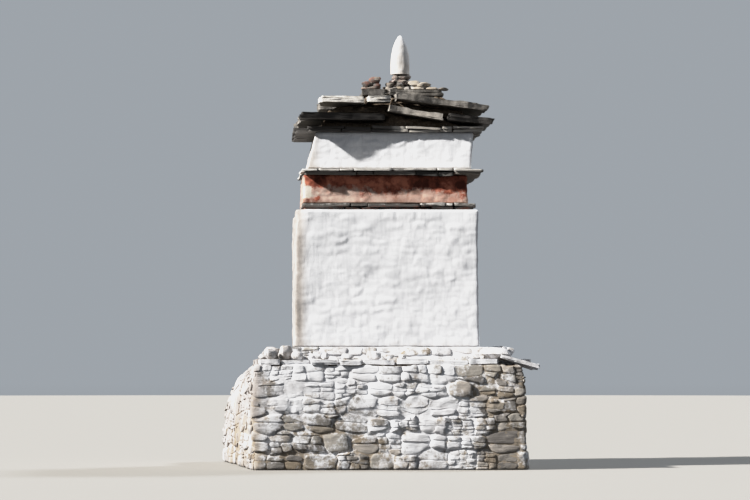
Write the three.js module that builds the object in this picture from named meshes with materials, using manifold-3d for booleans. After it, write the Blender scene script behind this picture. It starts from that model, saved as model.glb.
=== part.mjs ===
// A square Himalayan stupa: a whitewashed rubble tower on a rubble plinth, with a red ochre
// band between two courses of slate, a roof of heavy slate slabs and a whitewashed finial.
// Millimetres, +Z up. The front faces -Y, and the origin is on the ground under the shaft.

import * as THREE from "three";
import { mergeVertices } from "three/addons/utils/BufferGeometryUtils.js";
import Module from "manifold-3d";

const wasm = await Module();
wasm.setup();

// Driving dimensions: storey heights, from the ground up

const PLINTH_HEIGHT = 1520;
const FLAG_THICKNESS = 80;
const FOOTING_HEIGHT = 255;
const SHAFT_HEIGHT = 1993;
const LOWER_STRING_HEIGHT = 104;
const BAND_HEIGHT = 408;
const UPPER_STRING_HEIGHT = 100;
const HEAD_WALL_HEIGHT = 535;
const BED_SLAB_HEIGHT = 85;
const ROOF_CORE_HEIGHT = 500;
const CROWN_SLAB_HEIGHT = 90;
const FINIAL_BASE_HEIGHT = 268;
const FINIAL_HEIGHT = 590;

// Driving dimensions: widths across the walls

const SHAFT_WIDTH = 2680;
const SHAFT_BATTER = 15;
const FOOTING_STEP = 215;
const BAND_SETBACK = 135;
const BAND_BATTER = 8;
const HEAD_WALL_SETBACK = 140;
const FINIAL_WIDTH = 300;
const FINIAL_BASE_WIDTH = 470;
const FINIAL_BASE_DEPTH = 450;

const SEAT_GAP = 0.3;
const JOINT_GAP = 14;

// Levels, each the top of the piece it is named for

const footingTop = PLINTH_HEIGHT + FOOTING_HEIGHT;
const shaftTop = footingTop + SHAFT_HEIGHT;
const lowerStringTop = shaftTop + LOWER_STRING_HEIGHT;
const bandTop = lowerStringTop + BAND_HEIGHT;
const upperStringTop = bandTop + UPPER_STRING_HEIGHT;
const headWallTop = upperStringTop + HEAD_WALL_HEIGHT;
const bedSlabTop = headWallTop + BED_SLAB_HEIGHT;
const roofCoreTop = bedSlabTop + ROOF_CORE_HEIGHT;
const crownTop = roofCoreTop + CROWN_SLAB_HEIGHT + SEAT_GAP;
const finialBaseTop = crownTop + FINIAL_BASE_HEIGHT;

// The part's surfaces

const limewash = { color: 0xe6e6e8, roughness: 0.92, metalness: 0 };
const wornLimewash = { color: 0xc9c6c3, roughness: 0.95, metalness: 0 };
const redOchre = { color: 0x7a3a2c, roughness: 0.93, metalness: 0 };
const slate = { color: 0x4c4a49, roughness: 0.8, metalness: 0 };
const mudBedding = { color: 0x4a4038, roughness: 0.97, metalness: 0 };

const stupa = new THREE.Group();
stupa.name = "stupa";

function addPiece(name, geometry, finish, parent = stupa) {
  const piece = new THREE.Mesh(geometry, new THREE.MeshStandardMaterial(finish));
  piece.name = name;
  parent.add(piece);
  return piece;
}

// Booleans

function solidOf(geometry) {
  const bare = new THREE.BufferGeometry().setAttribute("position", geometry.getAttribute("position"));
  if (geometry.index) bare.setIndex(geometry.index);
  const merged = mergeVertices(bare, 1e-3);
  return new wasm.Manifold(
    new wasm.Mesh({
      numProp: 3,
      vertProperties: merged.attributes.position.array,
      triVerts: new Uint32Array(merged.index.array),
    }),
  );
}

function geometryOf(solid) {
  const mesh = solid.getMesh();
  return new THREE.BufferGeometry()
    .setAttribute("position", new THREE.BufferAttribute(mesh.vertProperties, 3))
    .setIndex(new THREE.BufferAttribute(mesh.triVerts, 1));
}

// Hand-laid unevenness: a slow wave that depends on the place alone

function wave(x, y, z, seed) {
  const long = Math.sin(x / 410 + z / 530 + seed) * Math.cos(y / 460 - z / 610 + 2 * seed);
  const short = Math.sin((x - y) / 230 + z / 190 + 3 * seed);
  return 0.6 * long + 0.4 * short;
}

// An uneven share from -1 to 1 for the i-th stone of a row
function uneven(i, seed) {
  const spread = Math.sin(12.9898 * (i + 1) + 4.1414 * seed) * 43.7585;
  return 2 * (spread - Math.floor(spread)) - 1;
}

// Rubble walls

// The four corners of a plan, front left first, then front right, back right and back left
function rectangle(halfWidth, centreX = 0, halfDepth = halfWidth) {
  return [
    new THREE.Vector2(centreX - halfWidth, -halfDepth),
    new THREE.Vector2(centreX + halfWidth, -halfDepth),
    new THREE.Vector2(centreX + halfWidth, halfDepth),
    new THREE.Vector2(centreX - halfWidth, halfDepth),
  ];
}

function planPoint(corners, u, v) {
  const front = corners[0].clone().lerp(corners[1], u);
  const back = corners[3].clone().lerp(corners[2], u);
  return front.lerp(back, v);
}

// A wall block whose plan goes from foot to head, and whose side faces wander by a few centimetres
function rubbleBlock({ foot, head, bottom, top, wander, seed, bays, courses, lean = (share) => share }) {
  const block = new THREE.BoxGeometry(1, 1, 1, bays, bays, courses);
  const at = block.attributes.position;
  for (let i = 0; i < at.count; i++) {
    const [u, v, share] = [at.getX(i) + 0.5, at.getY(i) + 0.5, at.getZ(i) + 0.5];
    const z = THREE.MathUtils.lerp(bottom, top, share);
    const point = planPoint(foot, u, v).lerp(planPoint(head, u, v), lean(share));
    const outX = (u > 0.999) - (u < 0.001);
    const outY = (v > 0.999) - (v < 0.001);
    const push = wander * wave(point.x, point.y, z, seed);
    at.setXYZ(i, point.x + outX * push, point.y + outY * push, z);
  }
  return block;
}

// The core of a wall that rises through the ring of slabs on its head. It starts a little inside the wall.
function withUpstand(block, halfWidth, centreX, bottom, height) {
  const sunk = 1;
  const rise = height + sunk;
  const upstand = new THREE.BoxGeometry(2 * halfWidth, 2 * halfWidth, rise);
  upstand.translate(centreX, 0, bottom + height - rise / 2);
  return geometryOf(solidOf(block).add(solidOf(upstand)));
}

// Walls of rough stones

// The outward normal of a plan's edge from start to end
function outwardOf(start, end) {
  return new THREE.Vector2(end.y - start.y, start.x - end.x).normalize();
}

// How deep the joints are, how far towards its middle a stone's face starts, and by what shares of a
// column and of a course the joints stray sideways (all the way up, and from row to row) and up and down
const STONE_JOINT_DEPTH = 12;
const STONE_SHOULDER = 0.16;
const JOINT_STRAY = { column: 0.36, row: 0.16, height: 0.24 };

// The corners of the stones are joints: x is how far round the wall the joint is, a whole number at each
// corner of the wall, and y is its share of the wall's height. Every course starts half a stone on from
// the one below, so a joint is a stone's corner in one course and the middle of its edge in the next.
function jointAt(column, row, { courses, stonesASide, seed }) {
  const columnsASide = 2 * stonesASide;
  const key = (column + 4 * columnsASide) % (4 * columnsASide);
  const atCorner = key % columnsASide === 0;
  const atEnd = row === 0 || row === courses.length - 1;
  const sideways = JOINT_STRAY.column * uneven(key, seed) + JOINT_STRAY.row * uneven(key, seed + row);
  const course = atEnd ? 0 : courses[row + 1] - courses[row];
  return new THREE.Vector2(
    (column + (atCorner ? 0 : sideways)) / columnsASide,
    courses[row] + JOINT_STRAY.height * course * uneven(key, seed + 20 + row),
  );
}

// A wall block faced with stones. Each stone's face is raised inside its six joints by its own amount.
function stoneBlock(wall) {
  const { foot, head, bottom, top, wander, seed, courses, stonesASide, stand } = wall;
  const lean = wall.lean ?? ((share) => share);
  const columns = 8 * stonesASide;
  const rows = courses.length - 1;
  const points = [];

  function addPoint(joint, proud) {
    const round = (joint.x + 4) % 4;
    const side = Math.floor(round);
    const plan = foot.map((corner, k) => corner.clone().lerp(head[k], lean(joint.y)));
    const [before, start, end] = [3, 0, 1].map((step) => plan[(side + step) % 4]);
    const place = start.clone().lerp(end, round - side);
    const outward = outwardOf(start, end);
    if (round === side) outward.add(outwardOf(before, start));
    const z = THREE.MathUtils.lerp(bottom, top, joint.y);
    place.addScaledVector(outward, proud + wander * wave(place.x, place.y, z, seed));
    return points.push(place.x, place.y, z) / 3 - 1;
  }

  for (let row = 0; row <= rows; row++) {
    for (let column = 0; column < columns; column++) addPoint(jointAt(column, row, wall), -STONE_JOINT_DEPTH);
  }

  const faces = [];
  const addQuad = (a, b, c, d) => faces.push(a, b, c, a, c, d);
  for (let row = 0; row < rows; row++) {
    for (let first = row % 2; first < columns; first += 2) {
      const around = [[0, 0], [1, 0], [2, 0], [2, 1], [1, 1], [0, 1]];
      const joints = around.map(([right, up]) => jointAt(first + right, row + up, wall));
      const rim = around.map(([right, up]) => (row + up) * columns + ((first + right) % columns));
      const middle = joints.reduce((sum, joint) => sum.add(joint), new THREE.Vector2()).divideScalar(6);
      const proud = THREE.MathUtils.mapLinear(uneven(first, seed + 40 + row), -1, 1, ...stand);
      const face = joints.map((joint, i) => {
        const inner = joint.clone().lerp(middle, STONE_SHOULDER);
        if (i % 3 === 1) inner.x = joint.x;
        return addPoint(inner, proud);
      });
      rim.forEach((corner, i) => addQuad(corner, rim[(i + 1) % 6], face[(i + 1) % 6], face[i]));
      addQuad(face[0], face[1], face[4], face[5]);
      addQuad(face[1], face[2], face[3], face[4]);
    }
  }
  addLid(faces, points, 0, columns, false);
  addLid(faces, points, rows * columns, columns, true);
  return new THREE.BufferGeometry()
    .setAttribute("position", new THREE.Float32BufferAttribute(points, 3))
    .setIndex(faces);
}

// Closes a block at its foot or head, over the row of points that starts at first
function addLid(faces, points, first, count, facesUp) {
  const outline = Array.from({ length: count }, (_, i) => {
    const start = 3 * (first + i);
    return new THREE.Vector2(points[start], points[start + 1]);
  });
  THREE.ShapeUtils.triangulateShape(outline, []).forEach(([a, b, c]) => {
    faces.push(first + a, first + (facesUp ? b : c), first + (facesUp ? c : b));
  });
}

// Plinth: about 4 m square and skewed, as it was built round the slope, with a worn shoulder

const PLINTH_FOOT = [
  new THREE.Vector2(-1950, -1960),
  new THREE.Vector2(1990, -1960),
  new THREE.Vector2(2040, 1990),
  new THREE.Vector2(-2390, 2050),
];
const PLINTH_HEAD = [
  new THREE.Vector2(-1925, -1900),
  new THREE.Vector2(1925, -1900),
  new THREE.Vector2(1900, 1830),
  new THREE.Vector2(-1850, 1790),
];
const SHOULDER_DROP = 270;

function addPlinth() {
  const shoulder = (share) => Math.exp((-PLINTH_HEIGHT * (1 - share)) / SHOULDER_DROP);
  const wall = {
    foot: PLINTH_FOOT,
    head: PLINTH_HEAD,
    bottom: 0,
    top: PLINTH_HEIGHT,
    wander: 32,
    seed: 1.3,
    courses: [0, 0.17, 0.35, 0.51, 0.69, 0.84, 1],
    stonesASide: 10,
    stand: [-6, 26],
    lean: shoulder,
  };
  addPiece("plinth", stoneBlock(wall), wornLimewash);
}

// The footing: two low courses that step out under the shaft

const footingHalf = SHAFT_WIDTH / 2 + FOOTING_STEP;
const footingHeadHalf = SHAFT_WIDTH / 2 + FOOTING_STEP / 2;

function addFooting() {
  const wall = {
    foot: rectangle(footingHalf),
    head: rectangle(footingHeadHalf),
    bottom: PLINTH_HEIGHT + SEAT_GAP,
    top: footingTop,
    wander: 16,
    seed: 2.1,
    courses: [0, 0.52, 1],
    stonesASide: 8,
    stand: [0, 18],
  };
  addPiece("footing", stoneBlock(wall), wornLimewash);
}

// Slab courses: on each side a row of slates that starts at one corner and stops short of the next

const SIDES = ["front", "right", "back", "left"];

function sideGroup(side, centreX = 0, centreY = 0, z = 0) {
  const group = new THREE.Group();
  group.rotation.z = (side * Math.PI) / 2;
  group.position.set(centreX, centreY, z);
  stupa.add(group);
  return group;
}

// The plan of a row on the front side: slates of uneven width, each reaching out by its own amount
function rowOutline({ left, right, inner, reach, jag, slates, seed }) {
  const joint = (i) => {
    const shift = i > 0 && i < slates ? 0.22 * uneven(i, seed) : 0;
    return THREE.MathUtils.lerp(left, right, (i + shift) / slates);
  };
  const outline = [new THREE.Vector2(left, -inner), new THREE.Vector2(right, -inner)];
  for (let i = slates - 1; i >= 0; i--) {
    const front = -(reach(i) + jag * uneven(i, seed + 5));
    outline.push(new THREE.Vector2(joint(i + 1), front), new THREE.Vector2(joint(i), front));
  }
  return outline;
}

function plate(outline, thickness) {
  return new THREE.ExtrudeGeometry(new THREE.Shape(outline), { depth: thickness, bevelEnabled: false });
}

// A ring of four rows. reaches holds how far each side stands out from the ring's centre.
function addRing(ring) {
  const { name, centreX = 0, reaches, inner, z, thickness, jag, slates, seed, longSlate } = ring;
  const finish = ring.finish ?? slate;
  const extra = (k, i) => (longSlate && longSlate.side === k && longSlate.slate === i ? longSlate.extra : 0);
  SIDES.forEach((side, k) => {
    const outline = rowOutline({
      left: -reaches[(k + 3) % 4],
      right: inner - JOINT_GAP,
      inner,
      reach: (i) => reaches[k] + extra(k, i),
      jag,
      slates,
      seed: seed + k,
    });
    const row = sideGroup(k, centreX, 0, z + SEAT_GAP);
    addPiece(`${name}_${side}`, plate(outline, thickness - SEAT_GAP), finish, row);
  });
}

// Ledge flags lie on the plinth round the footing. The ones on the right tip outwards.

const FLAG_INNER = footingHalf + 45;
const TIPPED_FLAG = { rise: 95, overhang: 250, droop: 70, front: -1935, back: -420, bend: 60 };

// A box from its lowest corner to its highest
function boxBetween(low, high) {
  const size = high.clone().sub(low);
  const middle = low.clone().lerp(high, 0.5);
  return new THREE.BoxGeometry(size.x, size.y, size.z).translate(middle.x, middle.y, middle.z);
}

function tippedFlag() {
  const outer = PLINTH_HEAD[1].x;
  const edge = outer + TIPPED_FLAG.overhang;
  const section = new THREE.Shape([
    new THREE.Vector2(FLAG_INNER, 0),
    new THREE.Vector2(outer + TIPPED_FLAG.bend, 0),
    new THREE.Vector2(edge, -TIPPED_FLAG.droop),
    new THREE.Vector2(edge, FLAG_THICKNESS - TIPPED_FLAG.droop),
    new THREE.Vector2(FLAG_INNER, FLAG_THICKNESS + TIPPED_FLAG.rise),
  ]);
  const depth = TIPPED_FLAG.back - TIPPED_FLAG.front;
  const flag = new THREE.ExtrudeGeometry(section, { depth, bevelEnabled: false });
  flag.rotateX(Math.PI / 2);
  flag.translate(0, TIPPED_FLAG.back, PLINTH_HEIGHT + SEAT_GAP);
  return flag;
}

function addLedgeFlags() {
  addRing({
    name: "ledge_flags",
    reaches: [1885, 1945, 1835, 1875],
    inner: FLAG_INNER,
    z: PLINTH_HEIGHT,
    thickness: FLAG_THICKNESS,
    jag: 34,
    slates: 5,
    seed: 3,
    finish: wornLimewash,
  });
  const right = stupa.getObjectByName("ledge_flags_right");
  right.parent.updateMatrixWorld(true);
  const flat = solidOf(right.geometry.clone().applyMatrix4(right.matrixWorld));
  const clear = 200;
  const cutOff = boxBetween(
    new THREE.Vector3(FLAG_INNER - clear, TIPPED_FLAG.front - clear, PLINTH_HEIGHT - clear),
    new THREE.Vector3(PLINTH_HEAD[1].x + clear, TIPPED_FLAG.back, PLINTH_HEIGHT + clear),
  );
  const joined = flat.subtract(solidOf(cutOff)).add(solidOf(tippedFlag()));
  right.parent.removeFromParent();
  addPiece("ledge_flags_right", geometryOf(joined), wornLimewash);
}

// Tower walls

const shaftHeadHalf = SHAFT_WIDTH / 2 - SHAFT_BATTER;
const bandHalf = SHAFT_WIDTH / 2 - BAND_SETBACK;
const headWallHalf = SHAFT_WIDTH / 2 - HEAD_WALL_SETBACK;
const HEAD_WALL_LEAN = { footX: 40, headX: 118, headHalf: 1154 };
const BAND_CENTRE_X = -20;
const STRING_INNER = 980;
const BED_INNER = 850;

function addShaft() {
  const wall = rubbleBlock({
    foot: rectangle(SHAFT_WIDTH / 2),
    head: rectangle(shaftHeadHalf),
    bottom: footingTop + SEAT_GAP,
    top: shaftTop,
    wander: 15,
    seed: 4.4,
    bays: 6,
    courses: 5,
  });
  const core = STRING_INNER - SEAT_GAP;
  addPiece("shaft", withUpstand(wall, core, 0, shaftTop, LOWER_STRING_HEIGHT), limewash);
}

function addRedBand() {
  const wall = rubbleBlock({
    foot: rectangle(bandHalf, BAND_CENTRE_X),
    head: rectangle(bandHalf - BAND_BATTER, BAND_CENTRE_X),
    bottom: lowerStringTop + SEAT_GAP,
    top: bandTop,
    wander: 11,
    seed: 5.2,
    bays: 6,
    courses: 2,
  });
  const core = STRING_INNER - SEAT_GAP;
  addPiece("red_band", withUpstand(wall, core, 0, bandTop, UPPER_STRING_HEIGHT), redOchre);
}

function addHeadWall() {
  const wall = rubbleBlock({
    foot: rectangle(headWallHalf, HEAD_WALL_LEAN.footX),
    head: rectangle(HEAD_WALL_LEAN.headHalf, HEAD_WALL_LEAN.headX),
    bottom: upperStringTop + SEAT_GAP,
    top: headWallTop,
    wander: 9,
    seed: 6.7,
    bays: 6,
    courses: 2,
  });
  const core = BED_INNER - SEAT_GAP;
  const block = withUpstand(wall, core, HEAD_WALL_LEAN.headX, headWallTop, BED_SLAB_HEIGHT);
  addPiece("head_wall", block, limewash);
}

function addStringCourses() {
  addRing({
    name: "lower_string",
    reaches: [1290, 1285, 1290, 1240],
    inner: STRING_INNER,
    z: shaftTop,
    thickness: LOWER_STRING_HEIGHT,
    jag: 16,
    slates: 6,
    seed: 11,
  });
  addRing({
    name: "upper_string",
    reaches: [1350, 1400, 1345, 1235],
    inner: STRING_INNER,
    z: bandTop,
    thickness: UPPER_STRING_HEIGHT,
    jag: 20,
    slates: 6,
    seed: 17,
  });
}

// Roof: bed slabs on the wall head, then two rings of big slabs bedded in a mud and rubble core

function addBedSlabs() {
  addRing({
    name: "bed_slabs",
    centreX: HEAD_WALL_LEAN.headX,
    reaches: [1240, 1290, 1270, 1275],
    inner: BED_INNER,
    z: headWallTop,
    thickness: BED_SLAB_HEIGHT,
    jag: 18,
    slates: 5,
    seed: 23,
    longSlate: { side: 3, slate: 3, extra: 215 },
  });
}

const SLAB_ENDS = [
  ["front_left", "front_right"],
  ["right_front", "right_back"],
  ["back_right", "back_left"],
  ["left_back", "left_front"],
];

// The plan of one roof slab: a straight back edge, and a broken outer edge of a few facets
function slabOutline({ left, right, inner, reach, jag, seed, corner = 0 }) {
  const facets = 4;
  const outline = [new THREE.Vector2(left, -inner), new THREE.Vector2(right, -inner)];
  for (let i = facets; i >= 0; i--) {
    const share = i / facets;
    const outward = reach + jag * uneven(i, seed) + corner * (1 - share);
    outline.push(new THREE.Vector2(THREE.MathUtils.lerp(left, right, share), -outward));
  }
  return outline;
}

// One slab in its side's group, turned about its own middle: roll lowers its right end, pitch its outer edge
function addSlab(group, { name, outline, thickness, z, roll, pitch }) {
  const box = new THREE.Box2().setFromPoints(outline);
  const middle = box.getCenter(new THREE.Vector2());
  const slab = plate(
    outline.map((point) => point.clone().sub(middle)),
    thickness,
  );
  slab.translate(0, 0, -thickness / 2);
  const piece = addPiece(name, slab, slate, group);
  piece.position.set(middle.x, middle.y, z);
  piece.rotation.set(THREE.MathUtils.degToRad(pitch), THREE.MathUtils.degToRad(roll), 0);
  return piece;
}

const ROOF_SLAB_THICKNESS = 95;

const EAVE = {
  name: "eave_slab",
  centre: [80, -20],
  reaches: [1325, 1440, 1400, 1375],
  inner: 780,
  z: 5195,
  ownsLeftCorner: true,
  splits: [-90, -180, -40, -150],
  rolls: [0.5, 9, 1.5, -1.5, -2, 2.4, 1.6, -1],
  pitches: [0.6, 1, 6, 3, 2.4, 3, 1.5, 2],
  lifts: [-60, 0, -108, -66, -30, -38, -36, -44],
  corners: [170, 70, 60, 40],
  jag: 24,
  seed: 31,
};

const UPPER = {
  name: "upper_slab",
  centre: [250, -40],
  reaches: [1300, 1270, 1250, 1240],
  inner: 560,
  z: 5400,
  ownsLeftCorner: false,
  splits: [-160, 300, 260, 180],
  rolls: [-1.5, 7, 1.4, -1.2, 1.8, -1.6, 1.5, 0.6],
  pitches: [1.5, 0.8, 5, 3, 2.8, 3.4, 2.6, -2],
  lifts: [0, -43, -65, -40, -18, -24, -12, -10],
  corners: [0, 0, 0, 0],
  jag: 28,
  seed: 47,
};

// A ring of eight slabs, two to a side. Each side holds the corner at its left end or at its right end.
function addSlabRing(ring) {
  const [centreX, centreY] = ring.centre;
  return SIDES.flatMap((_, k) => {
    const group = sideGroup(k, centreX, centreY);
    const stop = ring.inner - JOINT_GAP;
    const left = ring.ownsLeftCorner ? -ring.reaches[(k + 3) % 4] : -stop;
    const right = ring.ownsLeftCorner ? stop : ring.reaches[(k + 1) % 4];
    const split = ring.splits[k];
    const spans = [
      [left, split - JOINT_GAP / 2],
      [split + JOINT_GAP / 2, right],
    ];
    return spans.map(([from, to], half) => {
      const slot = 2 * k + half;
      return addSlab(group, {
        name: `${ring.name}_${SLAB_ENDS[k][half]}`,
        outline: slabOutline({
          left: from,
          right: to,
          inner: ring.inner,
          reach: ring.reaches[k],
          jag: ring.jag,
          seed: ring.seed + slot,
          corner: half === 0 ? ring.corners[k] : 0,
        }),
        thickness: ROOF_SLAB_THICKNESS,
        z: ring.z + ring.lifts[slot],
        roll: ring.rolls[slot],
        pitch: ring.pitches[slot],
      });
    });
  });
}

// A slab's solid grown by the seating gap, and by lift above it, for cutting its seat. No roof slab is
// narrower than twice LEAST_HALF_SLAB, so that share makes the gap at its edges wide enough.
const LEAST_HALF_SLAB = 250;
const OPEN_ABOVE = 300;

function seatOf(slab, lift) {
  slab.updateWorldMatrix(true, false);
  const seat = slab.geometry.clone();
  const grow = 1 + SEAT_GAP / LEAST_HALF_SLAB;
  const tall = ROOF_SLAB_THICKNESS / 2 + SEAT_GAP;
  const at = seat.attributes.position;
  for (let i = 0; i < at.count; i++) {
    at.setXYZ(i, at.getX(i) * grow, at.getY(i) * grow, at.getZ(i) > 0 ? tall + lift : -tall);
  }
  return solidOf(seat.applyMatrix4(slab.matrixWorld));
}

const CORE_FOOT_HALF = 1080;
const CORE_HEAD = { centreX: 270, half: 560 };

function addRoofCore(eaveSlabs, upperSlabs) {
  const heap = rubbleBlock({
    foot: rectangle(CORE_FOOT_HALF, HEAD_WALL_LEAN.headX),
    head: rectangle(CORE_HEAD.half, CORE_HEAD.centreX),
    bottom: bedSlabTop + SEAT_GAP,
    top: roofCoreTop,
    wander: 22,
    seed: 7.9,
    bays: 4,
    courses: 4,
    lean: (share) => share ** 2.5,
  });
  let core = solidOf(heap);
  eaveSlabs.forEach((slab) => (core = core.subtract(seatOf(slab, 0))));
  upperSlabs.forEach((slab) => (core = core.subtract(seatOf(slab, OPEN_ABOVE))));
  addPiece("roof_core", geometryOf(core), mudBedding);
}

// Crown: two slabs over the middle of the roof, and loose cap stones round the finial's base

const CROWN_HALF = 640;
const CROWN_JOINT_X = 20;
const CROWN_WEAR = 22;

// A crown slab's plan: its edges are worn in by uneven amounts, apart from the one along straightX
function crownOutline({ from, to, straightX, seed }) {
  const pointsAnEdge = 4;
  const corners = [
    new THREE.Vector2(from, -CROWN_HALF),
    new THREE.Vector2(to, -CROWN_HALF),
    new THREE.Vector2(to, CROWN_HALF),
    new THREE.Vector2(from, CROWN_HALF),
  ];
  const middle = new THREE.Vector2((from + to) / 2, 0);
  return corners.flatMap((corner, k) =>
    Array.from({ length: pointsAnEdge }, (_, i) => {
      const point = corner.clone().lerp(corners[(k + 1) % 4], i / pointsAnEdge);
      const inset = point.x === straightX ? 0 : CROWN_WEAR * (1 + uneven(i + k, seed));
      return point.add(middle.clone().sub(point).setLength(inset));
    }),
  );
}

function addCrown() {
  const from = CORE_HEAD.centreX - CROWN_HALF;
  const to = CORE_HEAD.centreX + CROWN_HALF;
  const slabs = [
    { name: "crown_slab_left", from, to: CROWN_JOINT_X, straightX: CROWN_JOINT_X, seed: 61 },
    { name: "crown_slab_right", from: CROWN_JOINT_X + JOINT_GAP, to, seed: 67 },
  ];
  slabs.forEach((slab) => {
    const body = plate(crownOutline(slab), CROWN_SLAB_HEIGHT);
    addPiece(slab.name, body.translate(0, 0, roofCoreTop + SEAT_GAP), slate);
  });
}

const STONE_CHAMFER = 0.22;

// A squat stone with a chamfered top and bottom edge
function squatStone(length, width, height, sides, seed) {
  const chamfer = STONE_CHAMFER * height;
  const outline = [];
  for (let i = 0; i < sides; i++) {
    const turn = (2 * Math.PI * (i + 0.3 * uneven(i, seed))) / sides;
    const size = 0.5 + 0.06 * uneven(i, seed + 1);
    outline.push(
      new THREE.Vector2(
        (length * size - chamfer) * Math.cos(turn),
        (width * size - chamfer) * Math.sin(turn),
      ),
    );
  }
  return new THREE.ExtrudeGeometry(new THREE.Shape(outline), {
    depth: height - 2 * chamfer,
    bevelThickness: chamfer,
    bevelSize: chamfer,
    bevelSegments: 1,
  }).translate(0, 0, chamfer);
}

const FINIAL_PLACE = { x: 255, y: 0 };

function addCapStones() {
  const stones = [
    { name: "cap_stone_left", x: -175, y: -100, length: 310, width: 300, height: 225, turn: 15 },
    { name: "cap_stone_front_right", x: 530, y: -330, length: 380, width: 290, height: 150, turn: -12 },
    { name: "cap_stone_back_right", x: 610, y: 260, length: 330, width: 380, height: 120, turn: 30 },
  ];
  stones.forEach(({ name, x, y, length, width, height, turn }, i) => {
    const stone = addPiece(name, squatStone(length, width, height, 7, 71 + i), slate);
    stone.position.set(x, y, crownTop + SEAT_GAP);
    stone.rotation.z = THREE.MathUtils.degToRad(turn);
  });
}

// Finial: a hand-plastered pointed stone on a small square base

// The profile's bulge: a greater fullness keeps the width further up, a greater taper makes the tip sharper
const FINIAL_FULLNESS = 2.4;
const FINIAL_TAPER = 0.6;

function finialProfile() {
  const steps = 12;
  const profile = [new THREE.Vector2(0, 0)];
  for (let i = 0; i <= steps; i++) {
    const share = i / steps;
    const radius = (FINIAL_WIDTH / 2) * (1 - share ** FINIAL_FULLNESS) ** FINIAL_TAPER;
    profile.push(new THREE.Vector2(i < steps ? radius : 0, share * FINIAL_HEIGHT));
  }
  return profile;
}

function addFinial() {
  const { x, y } = FINIAL_PLACE;
  const base = squatStone(FINIAL_BASE_WIDTH, FINIAL_BASE_DEPTH, FINIAL_BASE_HEIGHT, 4, 83);
  base.rotateZ(Math.PI / 4);
  addPiece("finial_base", base, slate).position.set(x, y, crownTop + SEAT_GAP);
  const finial = new THREE.LatheGeometry(finialProfile(), 20).rotateX(Math.PI / 2);
  addPiece("finial", finial, limewash).position.set(x, y, finialBaseTop + 2 * SEAT_GAP);
}

addPlinth();
addFooting();
addLedgeFlags();
addShaft();
addRedBand();
addStringCourses();
addHeadWall();
addBedSlabs();
addRoofCore(addSlabRing(EAVE), addSlabRing(UPPER));
addCrown();
addCapStones();
addFinial();

export default stupa;
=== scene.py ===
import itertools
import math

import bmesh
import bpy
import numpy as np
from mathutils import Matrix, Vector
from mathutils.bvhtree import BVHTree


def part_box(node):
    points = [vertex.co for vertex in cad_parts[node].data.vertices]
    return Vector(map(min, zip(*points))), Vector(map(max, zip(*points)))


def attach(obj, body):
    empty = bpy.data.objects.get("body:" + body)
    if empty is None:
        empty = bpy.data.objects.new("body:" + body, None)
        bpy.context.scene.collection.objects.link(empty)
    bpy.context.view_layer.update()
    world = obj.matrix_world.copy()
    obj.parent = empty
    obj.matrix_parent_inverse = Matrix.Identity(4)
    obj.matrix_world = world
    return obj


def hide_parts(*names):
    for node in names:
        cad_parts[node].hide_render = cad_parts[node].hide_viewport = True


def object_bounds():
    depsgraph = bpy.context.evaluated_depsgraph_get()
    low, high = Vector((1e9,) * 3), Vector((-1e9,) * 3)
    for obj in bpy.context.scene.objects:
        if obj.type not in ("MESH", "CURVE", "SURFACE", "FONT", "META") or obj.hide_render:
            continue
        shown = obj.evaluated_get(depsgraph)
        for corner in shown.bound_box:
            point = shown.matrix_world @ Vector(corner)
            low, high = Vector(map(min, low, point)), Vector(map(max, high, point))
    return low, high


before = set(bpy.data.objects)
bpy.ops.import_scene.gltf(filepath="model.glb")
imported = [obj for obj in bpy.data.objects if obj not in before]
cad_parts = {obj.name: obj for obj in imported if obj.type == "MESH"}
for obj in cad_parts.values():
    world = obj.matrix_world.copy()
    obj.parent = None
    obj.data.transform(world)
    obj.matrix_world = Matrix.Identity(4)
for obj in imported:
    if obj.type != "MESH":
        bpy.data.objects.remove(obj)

# %% [markdown]
# A Himalayan stupa, dressed for its portrait
#
# The solids of the stupa are already here: a tower of rubble masonry on a rubble plinth, with slate
# courses, a roof of heavy slabs and a small white finial. They are right in size and place, but plain and
# clean. This lesson gives them what the masons and the weather gave the real one: stones, joints,
# limewash, split slate. Everything is in metres, with +Z up and the front facing -Y.

cad_low, cad_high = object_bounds()
print(f"CAD box: {[round(v, 3) for v in cad_low]} to {[round(v, 3) for v in cad_high]} m")

# %% [markdown]
# The camera comes first, because the whole lesson is judged through it. It stands 47 m away, a little to
# the left of the front, with the eye 1.6 m above the plinth's foot, so the roof is seen from slightly
# below. A long lens brings the stupa near and keeps that flat perspective.

# %% Camera
CAMERA_DISTANCE = 47.0
CAMERA_AZIMUTH = math.radians(-2.5)
EYE_HEIGHT = 1.6
FRAME_WIDTH_PX = 750
PIXELS_PER_METRE = 68.75
SENSOR_WIDTH_MM = 36.0

camera_data = bpy.data.cameras.new("camera")
camera_data.sensor_width = SENSOR_WIDTH_MM
front_face_distance = CAMERA_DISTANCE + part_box("shaft")[0].y
camera_data.lens = SENSOR_WIDTH_MM * PIXELS_PER_METRE * front_face_distance / FRAME_WIDTH_PX
camera_data.clip_end = 500
camera = bpy.data.objects.new("camera", camera_data)
bpy.context.scene.collection.objects.link(camera)
bpy.context.scene.camera = camera
camera.location = (
    CAMERA_DISTANCE * math.sin(CAMERA_AZIMUTH),
    -CAMERA_DISTANCE * math.cos(CAMERA_AZIMUTH),
    EYE_HEIGHT,
)
look_at = (cad_low + cad_high) / 2
camera.rotation_euler = (look_at - camera.location).to_track_quat("-Z", "Y").to_euler()
print(f"camera: {camera_data.lens:.0f} mm lens at {CAMERA_DISTANCE} m")

# %% [markdown]
# Hand-laid stone is never even, so every shape below leans on one source of unevenness: value noise.
# Each corner of an invisible lattice gets a random height, and the points between are blended smoothly.
# Blender has noise of its own, but this one takes a whole mesh of points at once, and a seed makes it
# give the same wall every time. Layers of it, coarse and fine, add up to a surface.

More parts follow.
